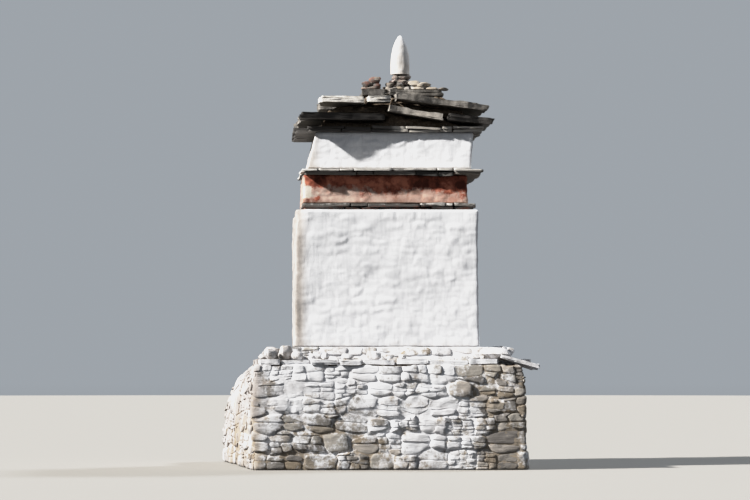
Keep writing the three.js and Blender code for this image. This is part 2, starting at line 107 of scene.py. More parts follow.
# %% Unevenness
LATTICE_SHIFT = 31.7
SEED_STEP, SEED_START = 668265263, 374761393
SCRAMBLERS = (2654435761, 2246822519)
LOW_32_BITS = 0xFFFFFFFF


def noise(points, size, seed=0):
    """Smooth noise from -1 to 1 at each point, with features about size metres across."""
    place = np.asarray(points, float) / size + LATTICE_SHIFT
    cell = np.floor(place).astype(np.int64)
    share = place - cell
    share = share * share * (3 - 2 * share)
    total = np.zeros(place.shape[:-1])
    for corner in itertools.product((0, 1), repeat=place.shape[-1]):
        weight = np.prod(np.where(corner, share, 1 - share), axis=-1)
        key = np.full(total.shape, seed * SEED_STEP + SEED_START, np.int64)
        for axis, step in enumerate(corner):
            key = ((key ^ (cell[..., axis] + step)) * SCRAMBLERS[0]) & LOW_32_BITS
            key = key ^ (key >> 15)
        key = (key * SCRAMBLERS[1]) & LOW_32_BITS
        total += weight * ((key ^ (key >> 13)) / 2**31 - 1)
    return total


def noises(points, seed, *layers):
    """Layers of noise added up. Each has a height and a size, and takes the next seed."""
    return sum(height * noise(points, size, seed + number) for number, (height, size) in enumerate(layers))


def smooth(value, low, high):
    """From 0 at low to 1 at high, with soft ends."""
    share = np.clip((np.asarray(value, float) - low) / (high - low), 0, 1)
    return share * share * (3 - 2 * share)


probe = noise(np.random.default_rng(1).uniform(-3, 3, (20000, 3)), 0.2)
print(f"noise runs from {probe.min():.2f} to {probe.max():.2f}")

# %% [markdown]
# Materials are the second tool. Colours are written as sRGB hex, as a painter would pick them, and one
# function turns them to the linear light that shaders count in. One more function adds a shader node with
# its settings and its links, so a material reads from top to bottom like a recipe.

# %% Colours and shader nodes
def linear(hex_colour):
    """An sRGB hex colour, such as #c8b6a6, as linear light for a shader, with alpha 1."""
    shares = [int(hex_colour[i:i + 2], 16) / 255 for i in (1, 3, 5)]
    return [s / 12.92 if s <= 0.04045 else ((s + 0.055) / 1.055) ** 2.4 for s in shares] + [1.0]


def outlet(node):
    """The first output of a node that is in use."""
    return next(output for output in node.outputs if output.enabled)


def add(tree, kind, sockets=None, stops=(), **settings):
    """Adds one shader node. sockets gives its inputs a value, or the node or output that feeds them, and
    stops gives a colour ramp its places and colours, from the first to the last."""
    made = tree.nodes.new("ShaderNode" + kind)
    for key, value in settings.items():
        setattr(made, key, value)
    for key, value in (sockets or {}).items():
        if isinstance(value, bpy.types.Node):
            value = outlet(value)
        if isinstance(value, bpy.types.NodeSocket):
            tree.links.new(value, made.inputs[key])
        else:
            made.inputs[key].default_value = value
    if stops:
        elements = made.color_ramp.elements
        for place, _ in stops[1:-1]:
            elements.new(place)
        for element, (place, colour) in zip(elements, stops):
            element.position = place
            element.color = linear(colour)
    return made


print(f"#808080 is {linear('#808080')[0]:.3f} in linear light")

# %% [markdown]
# The finishes of old masonry share a few moves of the trade. An edge is never clean, so a noise frays it.
# A coat is brushed over another, thick in one place and thin in the next. And every finish here is matt
# and earthy, so they all start from the same dull shader, with the index of refraction of stone.

# %% Moves that the finishes share
STONE_IOR = 1.5
DULL_SPECULAR = 0.25


def start_material(name, roughness):
    """A new material with its shader tree, its shader and metre coordinates."""
    material = bpy.data.materials.new(name)
    material.use_nodes = True
    tree = material.node_tree
    shader = tree.nodes["Principled BSDF"]
    settings = {"Roughness": roughness, "IOR": STONE_IOR, "Specular IOR Level": DULL_SPECULAR}
    for socket, value in settings.items():
        shader.inputs[socket].default_value = value
    return material, tree, shader, add(tree, "TexCoord").outputs["Object"]


def frayed(tree, attribute, grain, operation="ADD"):
    """An attribute of the mesh, with its edge frayed by a noise."""
    amount = add(tree, "Attribute", attribute_name=attribute).outputs["Fac"]
    return add(tree, "Math", {0: amount, 1: grain}, operation=operation)


def brushed_over(tree, under, over, amount, low, high, most=1.0):
    """A coat over another: none of it where amount is low, and a share most of it where amount is high."""
    cover = add(tree, "MapRange", {"Value": amount, "From Min": low, "From Max": high, "To Max": most})
    colour = linear(over) if isinstance(over, str) else over
    return add(tree, "Mix", {"Factor": cover, "A": under, "B": colour}, data_type="RGBA")


def multiplied(tree, colour, by, share):
    """A colour darkened or lightened by another, wholly where share is 1."""
    return add(tree, "Mix", {"Factor": share, "A": colour, "B": by}, data_type="RGBA", blend_type="MULTIPLY")


def finish_material(tree, shader, colour, height, strength, depth):
    """Gives a shader its colour, and a bump that is depth metres deep from a height."""
    bump = add(tree, "Bump", {"Height": height, "Strength": strength, "Distance": depth})
    tree.links.new(outlet(colour), shader.inputs["Base Color"])
    tree.links.new(outlet(bump), shader.inputs["Normal"])


print(f"every finish starts from an IOR of {STONE_IOR} and a specular level of {DULL_SPECULAR}")

# %% [markdown]
# Limewash is slaked lime and water, brushed on in many thin coats. It dries to a matt white with a cool
# cast, and turns cream where mud splashes up or a string course drips. The mesh says how deep each point
# lies in a joint, in an attribute called hollow, and the joints are greyed there as painted shade. Another
# attribute marks the left side, which the sun lights most: there the lime is painted cream and thin, partly
# as wear and partly as painted shade that holds that side down, and runs of rain have drawn streaks down it.

# %% Limewash over plastered rubble
BRUSH_STROKE = 0.035
STAIN_SIZE = 0.55
RAIN_STREAK = 0.2
RAIN_RUN = 1.1


def make_limewash():
    material, tree, shader, metres = start_material("limewash_on_rubble", 0.93)
    stain = add(tree, "TexNoise", {
        "Vector": metres, "Scale": 1 / STAIN_SIZE, "Detail": 5.0, "Roughness": 0.62,
    })
    stained = add(tree, "ValToRGB", {"Fac": stain}, ((0.34, "#dddee1"), (0.62, "#f0f1f4")))
    strokes_at = add(tree, "Mapping", {"Vector": metres, "Scale": (1 / BRUSH_STROKE, 1 / BRUSH_STROKE, 5.0)})
    strokes = add(tree, "TexNoise", {"Vector": strokes_at, "Scale": 1.0, "Detail": 3.0})
    brushed = multiplied(tree, stained, strokes, 0.1)
    # The joints are greyed by how deep they lie: painted shade.
    joint_shade_grain = add(tree, "TexNoise", {"Vector": metres, "Scale": 9.0, "Detail": 6.0, "Roughness": 0.7})
    joints = brushed_over(tree, brushed, "#a8a7a9", frayed(tree, "hollow", joint_shade_grain, "MULTIPLY"), 0.2, 0.7, 0.32)
    mud = add(tree, "TexNoise", {"Vector": metres, "Scale": 14.0, "Detail": 7.0, "Roughness": 0.75})
    coat = brushed_over(tree, joints, "#b7a791", frayed(tree, "splash", mud, "MULTIPLY"), 0.2, 0.6, 0.75)
    runs_at = add(tree, "Mapping", {
        "Vector": metres, "Scale": (1 / RAIN_STREAK, 1 / RAIN_STREAK, 1 / RAIN_RUN),
    })
    runs = add(tree, "TexNoise", {"Vector": runs_at, "Scale": 1.0, "Detail": 3.0, "Roughness": 0.5})
    wear = add(tree, "TexNoise", {"Vector": metres, "Scale": 5.0, "Detail": 8.0, "Roughness": 0.7})
    worn = add(tree, "Mix", {"Factor": 0.55, "A": runs, "B": wear})
    # On the left side the thin cream lime is partly wear and partly painted shade that holds the sunlit side
    # down.
    thin_and_shaded = add(tree, "ValToRGB", {"Fac": worn}, ((0.38, "#776e65"), (0.48, "#9d948c"), (0.6, "#b9b2ab")))
    weathered = add(tree, "Attribute", attribute_name="weathered").outputs["Fac"]
    faded = add(tree, "Mix", {"Factor": weathered, "A": coat, "B": thin_and_shaded}, data_type="RGBA")
    grit = add(tree, "TexNoise", {"Vector": metres, "Scale": 60.0, "Detail": 5.0, "Roughness": 0.7})
    relief = add(tree, "Math", {0: strokes, 1: grit}, operation="ADD")
    finish_material(tree, shader, faded, relief, 0.5, 0.006)
    return material


limewash = make_limewash()
print(f"{limewash.name}: stains {STAIN_SIZE * 1000:.0f} mm across, strokes {BRUSH_STROKE * 1000:.0f} mm wide")

# %% [markdown]
# The plinth's rubble is gneiss, a banded grey and tan field stone. Its limewash is old: it clings to the
# tops and the sheltered middles of the stones and is gone from edges and near the ground. So the finish
# is two materials in one. The attribute tone gives each stone a colour of its own, and wash says how much
# lime it has kept.

# %% Worn limewash on gneiss
GNEISS_BAND = 0.028
WASH_PATCH = 0.07
LICHEN_SPOT = 0.045


def make_worn_wash():
    material, tree, shader, metres = start_material("worn_limewash_on_gneiss", 0.94)
    tone = add(tree, "Attribute", attribute_name="tone").outputs["Fac"]
    stone = add(tree, "ValToRGB", {"Fac": tone}, (
        (0, "#6f6a66"), (0.3, "#8a8580"), (0.55, "#8f8271"), (0.75, "#9b968f"), (1, "#a8a098"),
    ))
    bands_at = add(tree, "Mapping", {
        "Vector": metres, "Rotation": (0.2, 0.1, 0), "Scale": (6.0, 6.0, 1 / GNEISS_BAND),
    })
    bands = add(tree, "TexNoise", {"Vector": bands_at, "Scale": 1.0, "Detail": 6.0, "Roughness": 0.65})
    band_tone = add(tree, "MapRange", {
        "Value": bands, "From Min": 0.3, "From Max": 0.7, "To Min": 0.62, "To Max": 1.2,
    })
    banded = multiplied(tree, stone, band_tone, 1.0)
    spots = add(tree, "TexNoise", {
        "Vector": metres, "Scale": 1 / LICHEN_SPOT, "Detail": 4.0, "Roughness": 0.8,
    })
    lichened = brushed_over(tree, banded, "#b5b09c", spots, 0.62, 0.68, 0.7)
    patches = add(tree, "TexNoise", {
        "Vector": metres, "Scale": 1 / WASH_PATCH, "Detail": 7.0, "Roughness": 0.72,
    })
    stain = add(tree, "TexNoise", {"Vector": metres, "Scale": 3.2, "Detail": 6.0, "Roughness": 0.65})
    lime = add(tree, "ValToRGB", {"Fac": stain}, ((0.35, "#c6c5c7"), (0.6, "#e8e9ec")))
    washed = brushed_over(tree, lichened, lime, frayed(tree, "wash", patches), 0.88, 1.06, 0.94)
    # The left side is multiplied darker: partly dust and wear, partly painted shade that holds the sunlit
    # side down.
    weathered = add(tree, "Attribute", attribute_name="weathered").outputs["Fac"]
    dusty_and_shaded = multiplied(tree, washed, linear("#b7afa8"), weathered)
    mud = add(tree, "TexNoise", {"Vector": metres, "Scale": 7.0, "Detail": 8.0, "Roughness": 0.75})
    earthy = brushed_over(tree, dusty_and_shaded, "#978976", frayed(tree, "splash", mud), 0.9, 1.3, 0.66)
    grit = add(tree, "TexNoise", {"Vector": metres, "Scale": 38.0, "Detail": 8.0, "Roughness": 0.72})
    relief = add(tree, "Math", {0: grit, 1: bands}, operation="ADD")
    finish_material(tree, shader, earthy, relief, 0.7, 0.01)
    return material


worn_limewash = make_worn_wash()
print(f"{worn_limewash.name}: bands {GNEISS_BAND * 1000:.0f} mm, patches of lime {WASH_PATCH * 1000:.0f} mm")

# %% [markdown]
# The band is washed with red ochre, an iron earth in water. Under the slates it has kept its deep red, in
# blotches of old and new coats. On the lower half rain has taken it to a pale salmon, with a ragged edge
# between the two, and at its left end a brush of limewash has gone over it. The attribute faded holds how
# far down the band a point lies, and limed how much lime it has got.

# %% Red ochre wash
OCHRE_PATCH = 0.09
COAT_PATCH = 0.22


def make_red_ochre():
    material, tree, shader, metres = start_material("red_ochre_wash", 0.95)
    patches = add(tree, "TexNoise", {
        "Vector": metres, "Scale": 1 / OCHRE_PATCH, "Detail": 7.0, "Roughness": 0.7,
    })
    coats = add(tree, "TexNoise", {
        "Vector": metres, "Scale": 1 / COAT_PATCH, "Detail": 6.0, "Roughness": 0.62,
    })
    deep = add(tree, "ValToRGB", {"Fac": coats}, ((0.4, "#552b21"), (0.5, "#914f3d"), (0.61, "#c67b62")))
    salmon = add(tree, "ValToRGB", {"Fac": coats}, ((0.38, "#a88172"), (0.62, "#cdb5a8")))
    worn = brushed_over(tree, deep, salmon, frayed(tree, "faded", patches), 0.95, 1.12)
    limed = brushed_over(tree, worn, "#d6ccbf", frayed(tree, "limed", patches), 0.95, 1.1)
    # The joints are darkened by how deep they lie: painted shade.
    hollow = add(tree, "Attribute", attribute_name="hollow").outputs["Fac"]
    shaded_joints = brushed_over(tree, limed, "#4a2c22", hollow, 0.3, 1.0, 0.16)
    grit = add(tree, "TexNoise", {"Vector": metres, "Scale": 45.0, "Detail": 7.0, "Roughness": 0.7})
    finish_material(tree, shader, shaded_joints, grit, 0.6, 0.008)
    return material


red_ochre = make_red_ochre()
print(f"{red_ochre.name}: fades in patches {OCHRE_PATCH * 1000:.0f} mm across")

# %% [markdown]
# The roof and the string courses are slate, split by hand along its cleavage. A broken edge shows the
# layers as fine lines, a face is dull and even, and what faces the sky carries dust and grey-green crusts
# of lichen. The shader asks the surface itself which way it faces: that is the same from every side, so
# the finish holds when the model turns. Last come the drips of red and lime from the walls above.

# %% Split slate
CLEAVAGE = 0.011
LICHEN_CRUST = 0.06


def make_slate():
    material, tree, shader, metres = start_material("split_slate", 0.82)
    tone = add(tree, "Attribute", attribute_name="tone").outputs["Fac"]
    body = add(tree, "ValToRGB", {"Fac": tone}, ((0, "#2c2a29"), (0.5, "#5c5956"), (1, "#827c75")))
    layers_at = add(tree, "Mapping", {"Vector": metres, "Scale": (3.0, 3.0, 1 / CLEAVAGE)})
    layers = add(tree, "TexNoise", {"Vector": layers_at, "Scale": 1.0, "Detail": 4.0, "Roughness": 0.6})
    layer_tone = add(tree, "MapRange", {
        "Value": layers, "From Min": 0.3, "From Max": 0.7, "To Min": 0.7, "To Max": 1.3,
    })
    layered = multiplied(tree, body, layer_tone, 0.8)
    breaks = add(tree, "TexNoise", {"Vector": metres, "Scale": 7.0, "Detail": 6.0, "Roughness": 0.7})
    broken = brushed_over(tree, layered, "#b9b3ab", frayed(tree, "edge", breaks, "MULTIPLY"), 0.34, 0.6, 0.85)
    facing = add(tree, "NewGeometry").outputs["Normal"]
    upward = add(tree, "SeparateXYZ", {"Vector": facing}).outputs["Z"]
    sky = add(tree, "MapRange", {"Value": upward, "From Min": 0.2, "From Max": 0.8, "To Max": 0.3})
    crust = add(tree, "TexNoise", {
        "Vector": metres, "Scale": 1 / LICHEN_CRUST, "Detail": 6.0, "Roughness": 0.75,
    })
    settled = add(tree, "Math", {0: sky, 1: crust}, operation="ADD")
    coat = brushed_over(tree, broken, "#a39d90", settled, 0.7, 0.98, 0.8)
    drips = add(tree, "TexNoise", {"Vector": metres, "Scale": 11.0, "Detail": 7.0, "Roughness": 0.7})
    for attribute, colour, strength in (("red", "#84503f", 0.75), ("lime", "#dcd8d2", 0.9)):
        coat = brushed_over(tree, coat, colour, frayed(tree, attribute, drips), 0.82, 1.05, strength)
    grit = add(tree, "TexNoise", {"Vector": metres, "Scale": 40.0, "Detail": 8.0, "Roughness": 0.7})
    relief = add(tree, "Math", {0: layers, 1: grit}, operation="ADD")
    finish_material(tree, shader, coat, relief, 0.8, 0.008)
    return material


slate = make_slate()
print(f"{slate.name}: cleavage lines {CLEAVAGE * 1000:.0f} mm apart")

# %% [markdown]
# Between the roof slabs the masons packed mud with gravel. Dry, it is brown and crumbly, with pale chips
# of stone in it, so it takes a coarse bump and a scatter of light cells.

# %% Mud bedding
GRAVEL = 1 / 30


def make_mud():
    material, tree, shader, metres = start_material("mud_bedding", 0.98)
    clods = add(tree, "TexNoise", {"Vector": metres, "Scale": 12.0, "Detail": 8.0, "Roughness": 0.7})
    earth = add(tree, "ValToRGB", {"Fac": clods}, ((0.35, "#3f352c"), (0.65, "#6f6152")))
    chips = add(tree, "TexVoronoi", {"Vector": metres, "Scale": 1 / GRAVEL})
    gravelly = brushed_over(tree, earth, "#8d867c", chips, 0.26, 0.18, 0.55)
    finish_material(tree, shader, gravelly, clods, 0.9, 0.02)
    return material


mud = make_mud()
print(f"{mud.name}: gravel about {GRAVEL * 1000:.0f} mm across")

# %% [markdown]
# Every piece is built from rings of points, joined ring to ring and closed at both ends. A wall stone, a
# slate, a boulder and the finial are all such ring solids, only with other rings. Building them in arrays
# keeps tens of thousands of faces quick to make, and every solid comes out closed.

# %% Ring solids
def ring_faces(count, rings, sides):
    """Faces of count solids, each of rings rings of sides points, closed at both ends."""
    first = np.arange(count)[:, None, None] * rings * sides
    near = first + np.arange(rings - 1)[None, :, None] * sides
    side = np.arange(sides)
    after = (side + 1) % sides
    quads = np.stack([near + side, near + after, near + sides + after, near + sides + side], axis=-1)
    lids = [(start + side[::-1]).tolist() for start in first.ravel()]
    lids += [(start + (rings - 1) * sides + side).tolist() for start in first.ravel()]
    return quads.reshape(-1, 4).tolist() + lids


def join_solids(solids):
    """Points, faces and the number of the solid for each point, of many ring solids in one mesh."""
    faces, owner = [], []
    for number, rings in enumerate(solids):
        faces += [[len(owner) + corner for corner in face] for face in ring_faces(1, *rings.shape[:2])]
        owner += [number] * rings[..., 0].size
    return np.concatenate([rings[..., :3].reshape(-1, 3) for rings in solids]), faces, np.array(owner)


print(f"3 rings of 6 points make a solid of {len(ring_faces(1, 3, 6))} faces")

# %% [markdown]
# A mesh becomes a piece of the stupa in one function, so that no step is forgotten: it gets its finish,
# the numbers that the finish reads at each point and a ride on the stupa's body, and the solids that it
# stands for are hidden. Edges sharper than a given angle stay crisp, as broken stone needs, and the rest
# is shaded smooth.

# %% Make a piece
def add_piece(name, points, faces, finish, slot, stands_for=(), sharp=40, **attributes):
    """A mesh from points and faces, riding on the stupa, in place of the solids named in stands_for. An
    attribute is a number, an array with a number for each point, or a rule that gives one from the points."""
    points = np.asarray(points).reshape(-1, 3)
    mesh = bpy.data.meshes.new(name)
    mesh.from_pydata(np.clip(points, np.array(cad_low), np.array(cad_high)).tolist(), [], faces)
    for attribute, values in attributes.items():
        if callable(values):
            values = values(points)
        layer = mesh.attributes.new(attribute, "FLOAT", "POINT")
        layer.data.foreach_set("value", np.broadcast_to(np.ravel(values), len(points)).astype(np.float32))
    mesh.shade_smooth()
    mesh.set_sharp_from_angle(angle=math.radians(sharp))
    mesh.materials.append(finish)
    piece = bpy.data.objects.new(name, mesh)
    bpy.context.scene.collection.objects.link(piece)
    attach(piece, "root")
    if stands_for:
        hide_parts(*stands_for)
    return piece


def triangles(piece):
    return sum(len(face.vertices) - 2 for face in piece.data.polygons)


print(f"{len(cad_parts)} solids wait to be dressed")

# %% [markdown]
# To dress a solid, its face has to be found. Rays do that: each starts well outside, flies in toward the
# middle and stops where it hits. A ring of rays gives a loop of points round the block. The loop is then
# spaced evenly from corner to corner and blurred a little, since no corner of rubble is sharp.

# %% Find a face with rays
RAYS_ROUND = 900
RAY_START = 6.0


def solid_tree(*nodes):
    """Something to shoot rays at: the solids of some nodes, as one."""
    points, faces = [], []
    for node in nodes:
        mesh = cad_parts[node].data
        faces += [[len(points) + corner for corner in face.vertices] for face in mesh.polygons]
        points += [vertex.co for vertex in mesh.vertices]
    return BVHTree.FromPolygons(points, faces)


def blurred(field, reach, axis):
    """The mean of each point and its neighbours up to reach steps away, going round if axis is 1."""
    count = field.shape[axis]
    near = np.arange(count)[:, None] + np.arange(-reach, reach + 1)
    near = near % count if axis == 1 else np.clip(near, 0, count - 1)
    return np.take(field, near, axis=axis).mean(axis=axis + 1)


def evenly(line, count=None, spacing=None):
    """Evenly spaced points along a line of points, up to its end but without it: count of them, or as many
    as the spacing allows and 12 at least."""
    travelled = np.concatenate([[0], np.cumsum(np.linalg.norm(np.diff(line, axis=0), axis=1))])
    count = count or max(12, round(travelled[-1] / spacing))
    wanted = np.linspace(0, travelled[-1], count, endpoint=False)
    return np.stack([np.interp(wanted, travelled, column) for column in line.T], axis=1)


def loop_at(tree, middle, height):
    """Where rays from all round, at one height, first meet a solid."""
    loop = []
    for turn in np.linspace(-math.pi, math.pi, RAYS_ROUND, endpoint=False) - math.pi / 4:
        outward = Vector((math.cos(turn), math.sin(turn), 0))
        start = Vector((middle.x, middle.y, height)) + outward * RAY_START
        loop.append(tree.ray_cast(start, -outward)[0])
    return np.array(loop)


def even_loop(loop, rounding):
    """A loop with evenly spaced points, a quarter of them to a side, and rounded corners."""
    calm = blurred(loop[None], 5, 1)[0]
    corner_at = []
    for turn in (-3, -1, 1, 3):
        reach = calm[:, 0] * math.cos(turn * math.pi / 4) + calm[:, 1] * math.sin(turn * math.pi / 4)
        corner_at.append(int(np.argmax(reach)))
    sides = []
    for start, end in zip(corner_at, corner_at[1:] + corner_at[:1]):
        run = loop[start:end + 1] if end > start else np.concatenate([loop[start:], loop[:end + 1]])
        sides.append(evenly(run, RAYS_ROUND // 4))
    even = np.concatenate(sides)
    spacing = np.linalg.norm(np.diff(even, axis=0), axis=1).mean()
    reach = max(1, int(rounding / spacing / 2))
    for _ in range(2):
        even = blurred(even[None], reach, 1)[0]
    return even


shaft_low, shaft_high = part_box("shaft")
shaft_middle = (shaft_low + shaft_high) / 2
sample = loop_at(solid_tree("shaft"), shaft_middle, shaft_middle.z)
print(f"a loop of {len(sample)} points round the shaft, {np.ptp(sample[:, 0]):.2f} m wide")

# %% [markdown]
# A masonry wall is easiest to lay flat. Wall unrolls the outer face of a block into a sheet: u runs round
# it from the front left corner and z runs up. Stones are laid out on the sheet and carried back to the
# block, and the ones on a corner bend round it as quoins do. The way out of the wall is steadied over a
# hand's width, so that a dent in the solid doesn't turn the stones on it.

# %% Unroll a wall
RAY_MARGIN = 0.002
STEADY = 0.11


class Wall:
    """The outer face of a block as a sheet of u (metres round it) and z (metres up)."""

    def __init__(self, node, bottom, top, rounding, levels=16):
        tree = solid_tree(node)
        low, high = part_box(node)
        middle = (low + high) / 2
        self.node, self.bottom, self.top, self.levels = node, bottom, top, levels
        heights = np.linspace(bottom, top, levels)
        hit_at = np.clip(heights, bottom + RAY_MARGIN, top - RAY_MARGIN)
        self.table = np.array([even_loop(loop_at(tree, middle, height), rounding) for height in hit_at])
        self.table[..., 2] = heights[:, None]
        steps = np.linalg.norm(np.diff(self.table, axis=1, append=self.table[:, :1]), axis=-1)
        self.length = steps.sum(axis=1).mean()
        calm = blurred(self.table, round(STEADY / self.length * RAYS_ROUND), 1)
        calm = blurred(calm, round(STEADY / (top - bottom) * levels / 2), 0)
        along = np.roll(calm, -1, axis=1) - np.roll(calm, 1, axis=1)
        outward = np.cross(along, np.gradient(calm, axis=0))
        self.outward = outward / np.linalg.norm(outward, axis=-1, keepdims=True)

    def sample(self, field, u, z):
        """A value of the table at any u and z, blended between its four neighbours."""
        column = np.asarray(u) / self.length % 1 * field.shape[1]
        row = np.clip((np.asarray(z) - self.bottom) / (self.top - self.bottom), 0, 1) * (self.levels - 1)
        left = np.floor(column).astype(int)
        below = np.minimum(np.floor(row).astype(int), self.levels - 2)
        across, up = (column - left)[..., None], (row - below)[..., None]
        left = left % field.shape[1]
        right = (left + 1) % field.shape[1]
        lower = field[below, left] * (1 - across) + field[below, right] * across
        upper = field[below + 1, left] * (1 - across) + field[below + 1, right] * across
        return lower * (1 - up) + upper * up

    def at(self, u, z, proud=0.0):
        """The point that stands proud metres out of the wall at u and z."""
        return self.sample(self.table, u, z) + self.sample(self.outward, u, z) * np.asarray(proud)[..., None]

    def grid(self, spacing):
        """Even u and z over the whole sheet, as two arrays."""
        columns = round(self.length / spacing)
        rows = round((self.top - self.bottom) / spacing)
        levels = np.linspace(self.bottom, self.top, rows + 1)
        return np.meshgrid(np.arange(columns) * self.length / columns, levels)


level = {
    "plinth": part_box("plinth")[1].z,
    "footing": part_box("footing")[1].z,
    "shaft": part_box("lower_string_front")[0].z,
    "lower_string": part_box("lower_string_front")[1].z,
    "band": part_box("upper_string_front")[0].z,
    "upper_string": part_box("upper_string_front")[1].z,
    "head_wall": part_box("bed_slabs_front")[0].z,
}
shaft_wall = Wall("shaft", level["footing"], level["shaft"], rounding=0.07)
print(f"the shaft is {shaft_wall.length:.2f} m round and {shaft_wall.top - shaft_wall.bottom:.2f} m high")

# %% [markdown]
# Rubble is brought to courses: every 300 mm or so the mason levels the wall, and in between the stones go
# as they come. So the sheet is cut into lifts, a lift into blocks, and a block is broken again and again
# by slanting cuts until no piece is bigger than a stone that two hands can lift. It gives big stones
# beside stacks of thin ones, with no grid in sight.

# %% Break up a block
#           share of the block where it is cut, how far a standing and a lying cut slant
CUT_SHARE, STANDING_SLANT, LYING_SLANT = (0.34, 0.66), 0.28, 0.13


def cut(corners, point, normal):
    """The part of a convex shape on the inner side of a line, whose normal points away from it."""
    kept = []
    for start, end in zip(corners, corners[1:] + corners[:1]):
        before = (start[0] - point[0]) * normal[0] + (start[1] - point[1]) * normal[1]
        after = (end[0] - point[0]) * normal[0] + (end[1] - point[1]) * normal[1]
        if before <= 0:
            kept.append(start)
        if before * after < 0:
            share = before / (before - after)
            kept.append((start[0] + (end[0] - start[0]) * share, start[1] + (end[1] - start[1]) * share))
    return kept


def break_up(rng, corners, widest, highest):
    """A block of the sheet as stones: shapes with corners at (u, z)."""
    us, zs = [c[0] for c in corners], [c[1] for c in corners]
    wide, high = (max(us) - min(us)) / widest, (max(zs) - min(zs)) / highest
    if wide <= 1 and high <= 1:
        return [corners]
    share = rng.uniform(*CUT_SHARE)
    if wide / high > rng.uniform(0.7, 1.4):
        point = (min(us) + (max(us) - min(us)) * share, (min(zs) + max(zs)) / 2)
        normal = (1.0, rng.uniform(-STANDING_SLANT, STANDING_SLANT))
    else:
        point = ((min(us) + max(us)) / 2, min(zs) + (max(zs) - min(zs)) * share)
        normal = (rng.uniform(-LYING_SLANT, LYING_SLANT), 1.0)
    halves = cut(corners, point, normal), cut(corners, point, (-normal[0], -normal[1]))
    return [stone for half in halves for stone in break_up(rng, half, widest, highest)]


block = [(0, 0), (1, 0), (1, 0.3), (0, 0.3)]
sample = break_up(np.random.default_rng(1), block, 0.42, 0.2)
print(f"a metre of a 300 mm lift breaks into {len(sample)} stones")

# %% [markdown]
# Now for the whole sheet. The lifts run right round the wall, each of a height of its own, and their
# blocks lean a little on each other. The bedding joints between them are hardly level either: three waves
# of unlike lengths carry them up and down.

# %% Lay rubble
#                size in metres, waves round the wall, turn for each metre up, start
BEDDING_WAVES = ((0.016, 7, 9, 0), (0.012, 17, -14, 1), (0.008, 41, 0, 2))


def lay_rubble(wall, lift, stone, seed):
    """All the stones of a wall's face. lift is the least and greatest height of a lift, and stone the
    greatest width and height of a stone."""
    rng = np.random.default_rng(seed)
    stones = []
    bottom = wall.bottom
    while bottom < wall.top - 0.01:
        top = bottom + rng.uniform(*lift)
        if wall.top - top < lift[0] * 0.6:
            top = wall.top
        start = left = rng.uniform(0, 0.5)
        lean = 0.0
        while left < start + wall.length - 0.01:
            right = left + rng.uniform(1.1, 2.2) * stone[0]
            if start + wall.length - right < stone[0]:
                right = start + wall.length
            next_lean = rng.uniform(-0.03, 0.03) if right < start + wall.length else 0.0
            foot = [(left - lean, bottom), (right - next_lean, bottom)]
            head = [(right + next_lean, top), (left + lean, top)]
            size = rng.uniform(0.62, 1.12)
            stones += break_up(rng, foot + head, stone[0] * size, stone[1] * size)
            left, lean = right, next_lean
        bottom = top
    return stones


def bedding_wave(wall, u, z):
    """How far the bedding joints wander up and down. It dies out at the wall's foot and head."""
    turn = 2 * math.pi * np.asarray(u) / wall.length
    z = np.asarray(z)
    calm = np.clip(np.minimum(z - wall.bottom, wall.top - z) / 0.15, 0, 1)
    waves = (size * np.sin(count * turn + rise * z + start) for size, count, rise, start in BEDDING_WAVES)
    return calm * sum(waves)


shaft_stones = lay_rubble(shaft_wall, (0.26, 0.4), (0.42, 0.2), seed=11)
print(f"the shaft has {len(shaft_stones)} stones in its outer face")

# %% [markdown]
# On the shaft the stones hardly show: mud plaster and years of limewash have drowned them to soft swells.
# Each swell is the shape of its stone with a wide soft shoulder, and has a height and a tilt of its own.
# How deep a point lies inside a stone is kept too, as the joints are where it is least, and the finishes
# paint shade there.

# %% Swelling stones
STONE_SHOULDER = 0.055
CORNER_CRISPNESS = 70.0
JOINT_START = -0.004


def edges_of(corners):
    """The outward normals of a shape's edges, and the shape's corners."""
    corners = np.array(corners)
    along = np.roll(corners, -1, axis=0) - corners
    normals = np.stack([along[:, 1], -along[:, 0]], axis=1)
    lengths = np.linalg.norm(normals, axis=1)
    kept = lengths > 1e-4
    return normals[kept] / lengths[kept, None], corners[kept]


def stone_swell(wall, sheet_u, sheet_z, stones, seed):
    """How far the stones swell at each point of a sheet, and how far inside a stone the point is."""
    rng = np.random.default_rng(seed)
    rows, columns = sheet_u.shape
    step_u, step_z = wall.length / columns, (wall.top - wall.bottom) / (rows - 1)
    swell, inside = np.zeros(sheet_u.shape), np.full(sheet_u.shape, -1.0)
    for stone in stones:
        normals, corners = edges_of(stone)
        centre = corners.mean(axis=0)
        reach = np.abs(corners - centre).max(axis=0) + 0.06
        across = np.arange((centre[0] - reach[0]) // step_u, (centre[0] + reach[0]) // step_u + 2).astype(int)
        first = max(0, int((centre[1] - reach[1] - wall.bottom) / step_z))
        last = min(rows, int((centre[1] + reach[1] - wall.bottom) / step_z) + 2)
        block = np.ix_(np.arange(first, last), across % columns)
        away_u = (sheet_u[block] - centre[0] + wall.length / 2) % wall.length - wall.length / 2
        away = np.stack([away_u, sheet_z[block] - centre[1]], axis=-1)
        insets = ((corners - centre) * normals).sum(axis=1) - away @ normals.T
        depth = -np.log(np.exp(-CORNER_CRISPNESS * insets).sum(axis=-1)) / CORNER_CRISPNESS
        height = rng.uniform(0.0, 1.0)
        tilt = rng.uniform(-0.5, 0.5, 2)
        face = height * (1 + away[..., 0] / reach[0] * tilt[0] + away[..., 1] / reach[1] * tilt[1])
        swell[block] = np.maximum(swell[block], face * smooth(depth, JOINT_START, STONE_SHOULDER))
        inside[block] = np.maximum(inside[block], depth)
    return swell, inside


print(f"a swell climbs over the outer {STONE_SHOULDER * 1000:.0f} mm of its stone")

